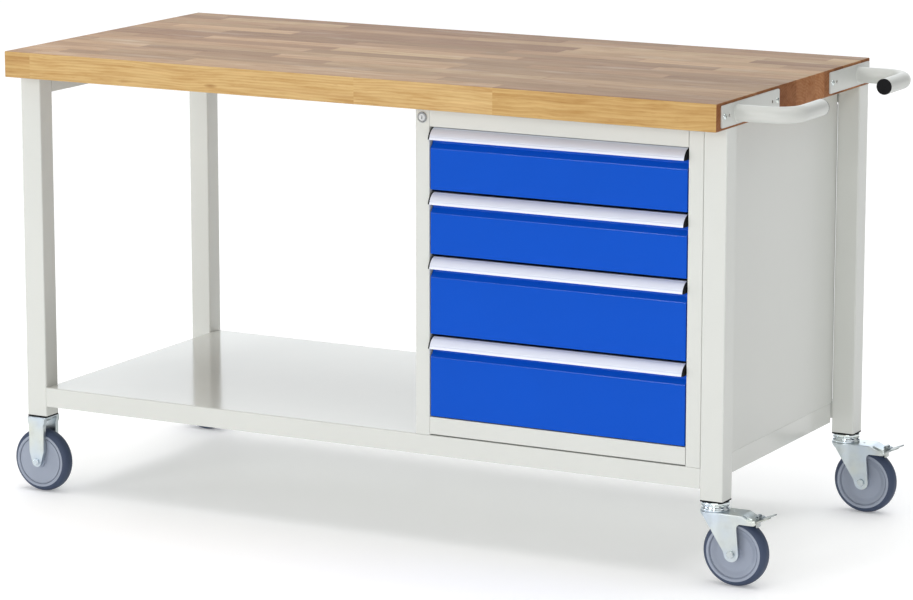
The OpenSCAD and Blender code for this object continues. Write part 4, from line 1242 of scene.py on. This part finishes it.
class MakeStage(bpy.types.Operator):
    """Lays the floor, hangs the lights and sets up the camera"""
    bl_idname = "bench.stage"
    bl_label = "Stage"

    def execute(self, context):
        stage, colours = context.scene.bench_stage, context.scene.bench_colours
        nothing_selected()
        bpy.ops.mesh.primitive_plane_add(size=stage.floor_size, location=(0, 0, 0))
        floor = named("studio_floor")
        paper = Finish("studio_floor", tuple(colours.floor), Roughness=0.9)
        speck = paper.noise(paper.place, 40.0, 2.0)
        paper.give("Base Color", paper.tint(shade(colours.floor, 0.995), tuple(colours.floor), speck))
        paper.shader.inputs["Emission Color"].default_value = (1, 1, 1, 1)
        paper.shader.inputs["Emission Strength"].default_value = stage.floor_glow
        floor.data.materials.append(paper.material)

        self.paint_studio(context.scene)
        self.hang_sun("key_light", (-0.35, -0.85, 0.26), 0.47, 16)
        self.hang_sun("top_light", (0.10, 0.05, 1.0), 1.18, 60)
        self.hang_strip("left_softbox", (-1.0, -0.3, 2.35), (-1.0, -0.3, 0.9), 0.8, 0.8, 8)
        self.hang_strip("strip_light", (1.75, -6.5, 1.5), (0.7, -0.3, 0.3), 0.9, 2.6, 84)
        self.hang_strip("side_light", (-6.5, -3.4, 0.62), (0.7, -0.3, 0.1), 1.0, 1.2, 60)

        nothing_selected()
        bpy.ops.object.camera_add(location=stage.eye)
        camera = context.object
        camera.name = "studio_camera"
        camera.rotation_mode = "QUATERNION"
        camera.rotation_quaternion = Vector(stage.sight).to_track_quat("-Z", "Y")
        camera.data.lens = stage.lens
        camera.data.clip_end = 400.0
        context.scene.camera = camera
        context.scene.view_settings.view_transform = "Standard"
        return {"FINISHED"}

    def paint_studio(self, scene):
        """A pale room, brighter behind the bench, with dark gaps between its screens low down."""
        world = scene.world or bpy.data.worlds.new("studio")
        scene.world = world
        world.use_nodes = True
        room = Shading(world.node_tree)
        sight = room.output(room.node("ShaderNodeTexCoord"), "Generated")
        x, y, z = room.axes(sight)
        turn = room.sum("ARCTAN2", x, -1.0 * y) / math.pi
        gaps = 0.0
        for place, width in ((0.07, 0.06), (0.47, 0.06), (-0.62, 0.22), (0.85, 0.12)):
            gaps = room.clamped(room.sum("ABSOLUTE", turn - place), width + 0.02, width) + gaps
        low_down = 1.0 - room.clamped(z, 0.3, 0.7)
        flank = room.clamped(x, 0.35, 0.75) * low_down
        screens = room.tint((0.56, 0.56, 0.56), (0.66, 0.66, 0.67), flank)
        screens = room.tint(screens, (0.015, 0.025, 0.06), gaps * low_down)
        behind = room.clamped(room.sum("ABSOLUTE", turn), 0.68, 0.80) * room.clamped(z, 0.75, 0.45)
        screens = room.tint(screens, (1.66, 1.73, 1.79), behind * room.clamped(x, 0.25, -0.05))
        sky = world.node_tree.nodes["Background"]
        room.feed(sky.inputs["Color"], screens)
        sky.inputs["Strength"].default_value = 0.95

    def hang_sun(self, name, direction, strength, softness):
        """A broad even light from one direction."""
        nothing_selected()
        bpy.ops.object.light_add(type="SUN", location=Vector(direction) * 5)
        light = bpy.context.object
        light.name = light.data.name = name
        light.data.energy = strength
        light.data.angle = math.radians(softness)
        light.rotation_mode = "QUATERNION"
        light.rotation_quaternion = (-Vector(direction)).to_track_quat("-Z", "Y")

    def hang_strip(self, name, place, target, width, height, power):
        """A soft box of one size and power, shining from its place at its target."""
        nothing_selected()
        bpy.ops.object.light_add(type="AREA", location=place)
        light = bpy.context.object
        light.name = light.data.name = name
        light.data.shape = "RECTANGLE"
        light.data.size, light.data.size_y = width, height
        light.data.energy = power
        light.rotation_mode = "QUATERNION"
        light.rotation_quaternion = (Vector(target) - Vector(place)).to_track_quat("-Z", "Y")
        light.visible_camera = False


class BenchPanel(bpy.types.Panel):
    """Lists the steps that build the workbench"""
    bl_idname = "BENCH_PT_steps"
    bl_label = "Workbench"
    bl_space_type = "VIEW_3D"
    bl_region_type = "UI"
    bl_category = "Workbench"

    def draw(self, context):
        for step in STEPS:
            self.layout.operator(step.bl_idname)
        for group in (context.scene.bench_sizes, context.scene.bench_colours,
                      context.scene.bench_stage):
            column = self.layout.column()
            for name in group.__annotations__:
                column.prop(group, name)


STEPS = (MakeWorktop, MakeFrame, MakeCabinet, MakeDrawers, MakeGrips, MakeSlides, MakeLock,
         MakeHandles, MakeFixedCasters, MakeSwivelCasters, MakeWheels, MakeStage)
GROUPS = {"bench_sizes": BenchSizes, "bench_colours": BenchColours, "bench_stage": BenchStage}


def register():
    for group in GROUPS.values():
        bpy.utils.register_class(group)
    for name, group in GROUPS.items():
        setattr(bpy.types.Scene, name, PointerProperty(type=group))
    for step in STEPS:
        bpy.utils.register_class(step)
    bpy.utils.register_class(BenchPanel)


def unregister():
    bpy.utils.unregister_class(BenchPanel)
    for step in reversed(STEPS):
        bpy.utils.unregister_class(step)
    for name in GROUPS:
        delattr(bpy.types.Scene, name)
    for group in reversed(GROUPS.values()):
        bpy.utils.unregister_class(group)


def main():
    """Builds every piece in order."""
    register()
    make_finishes()
    bpy.ops.bench.worktop()
    bpy.ops.bench.frame()
    bpy.ops.bench.cabinet()
    bpy.ops.bench.drawers()
    bpy.ops.bench.grips()
    bpy.ops.bench.slides()
    bpy.ops.bench.lock()
    bpy.ops.bench.handles()
    bpy.ops.bench.fixed_casters()
    bpy.ops.bench.swivel_casters()
    bpy.ops.bench.wheels()
    bpy.ops.bench.stage()


if __name__ == "__main__":
    main()
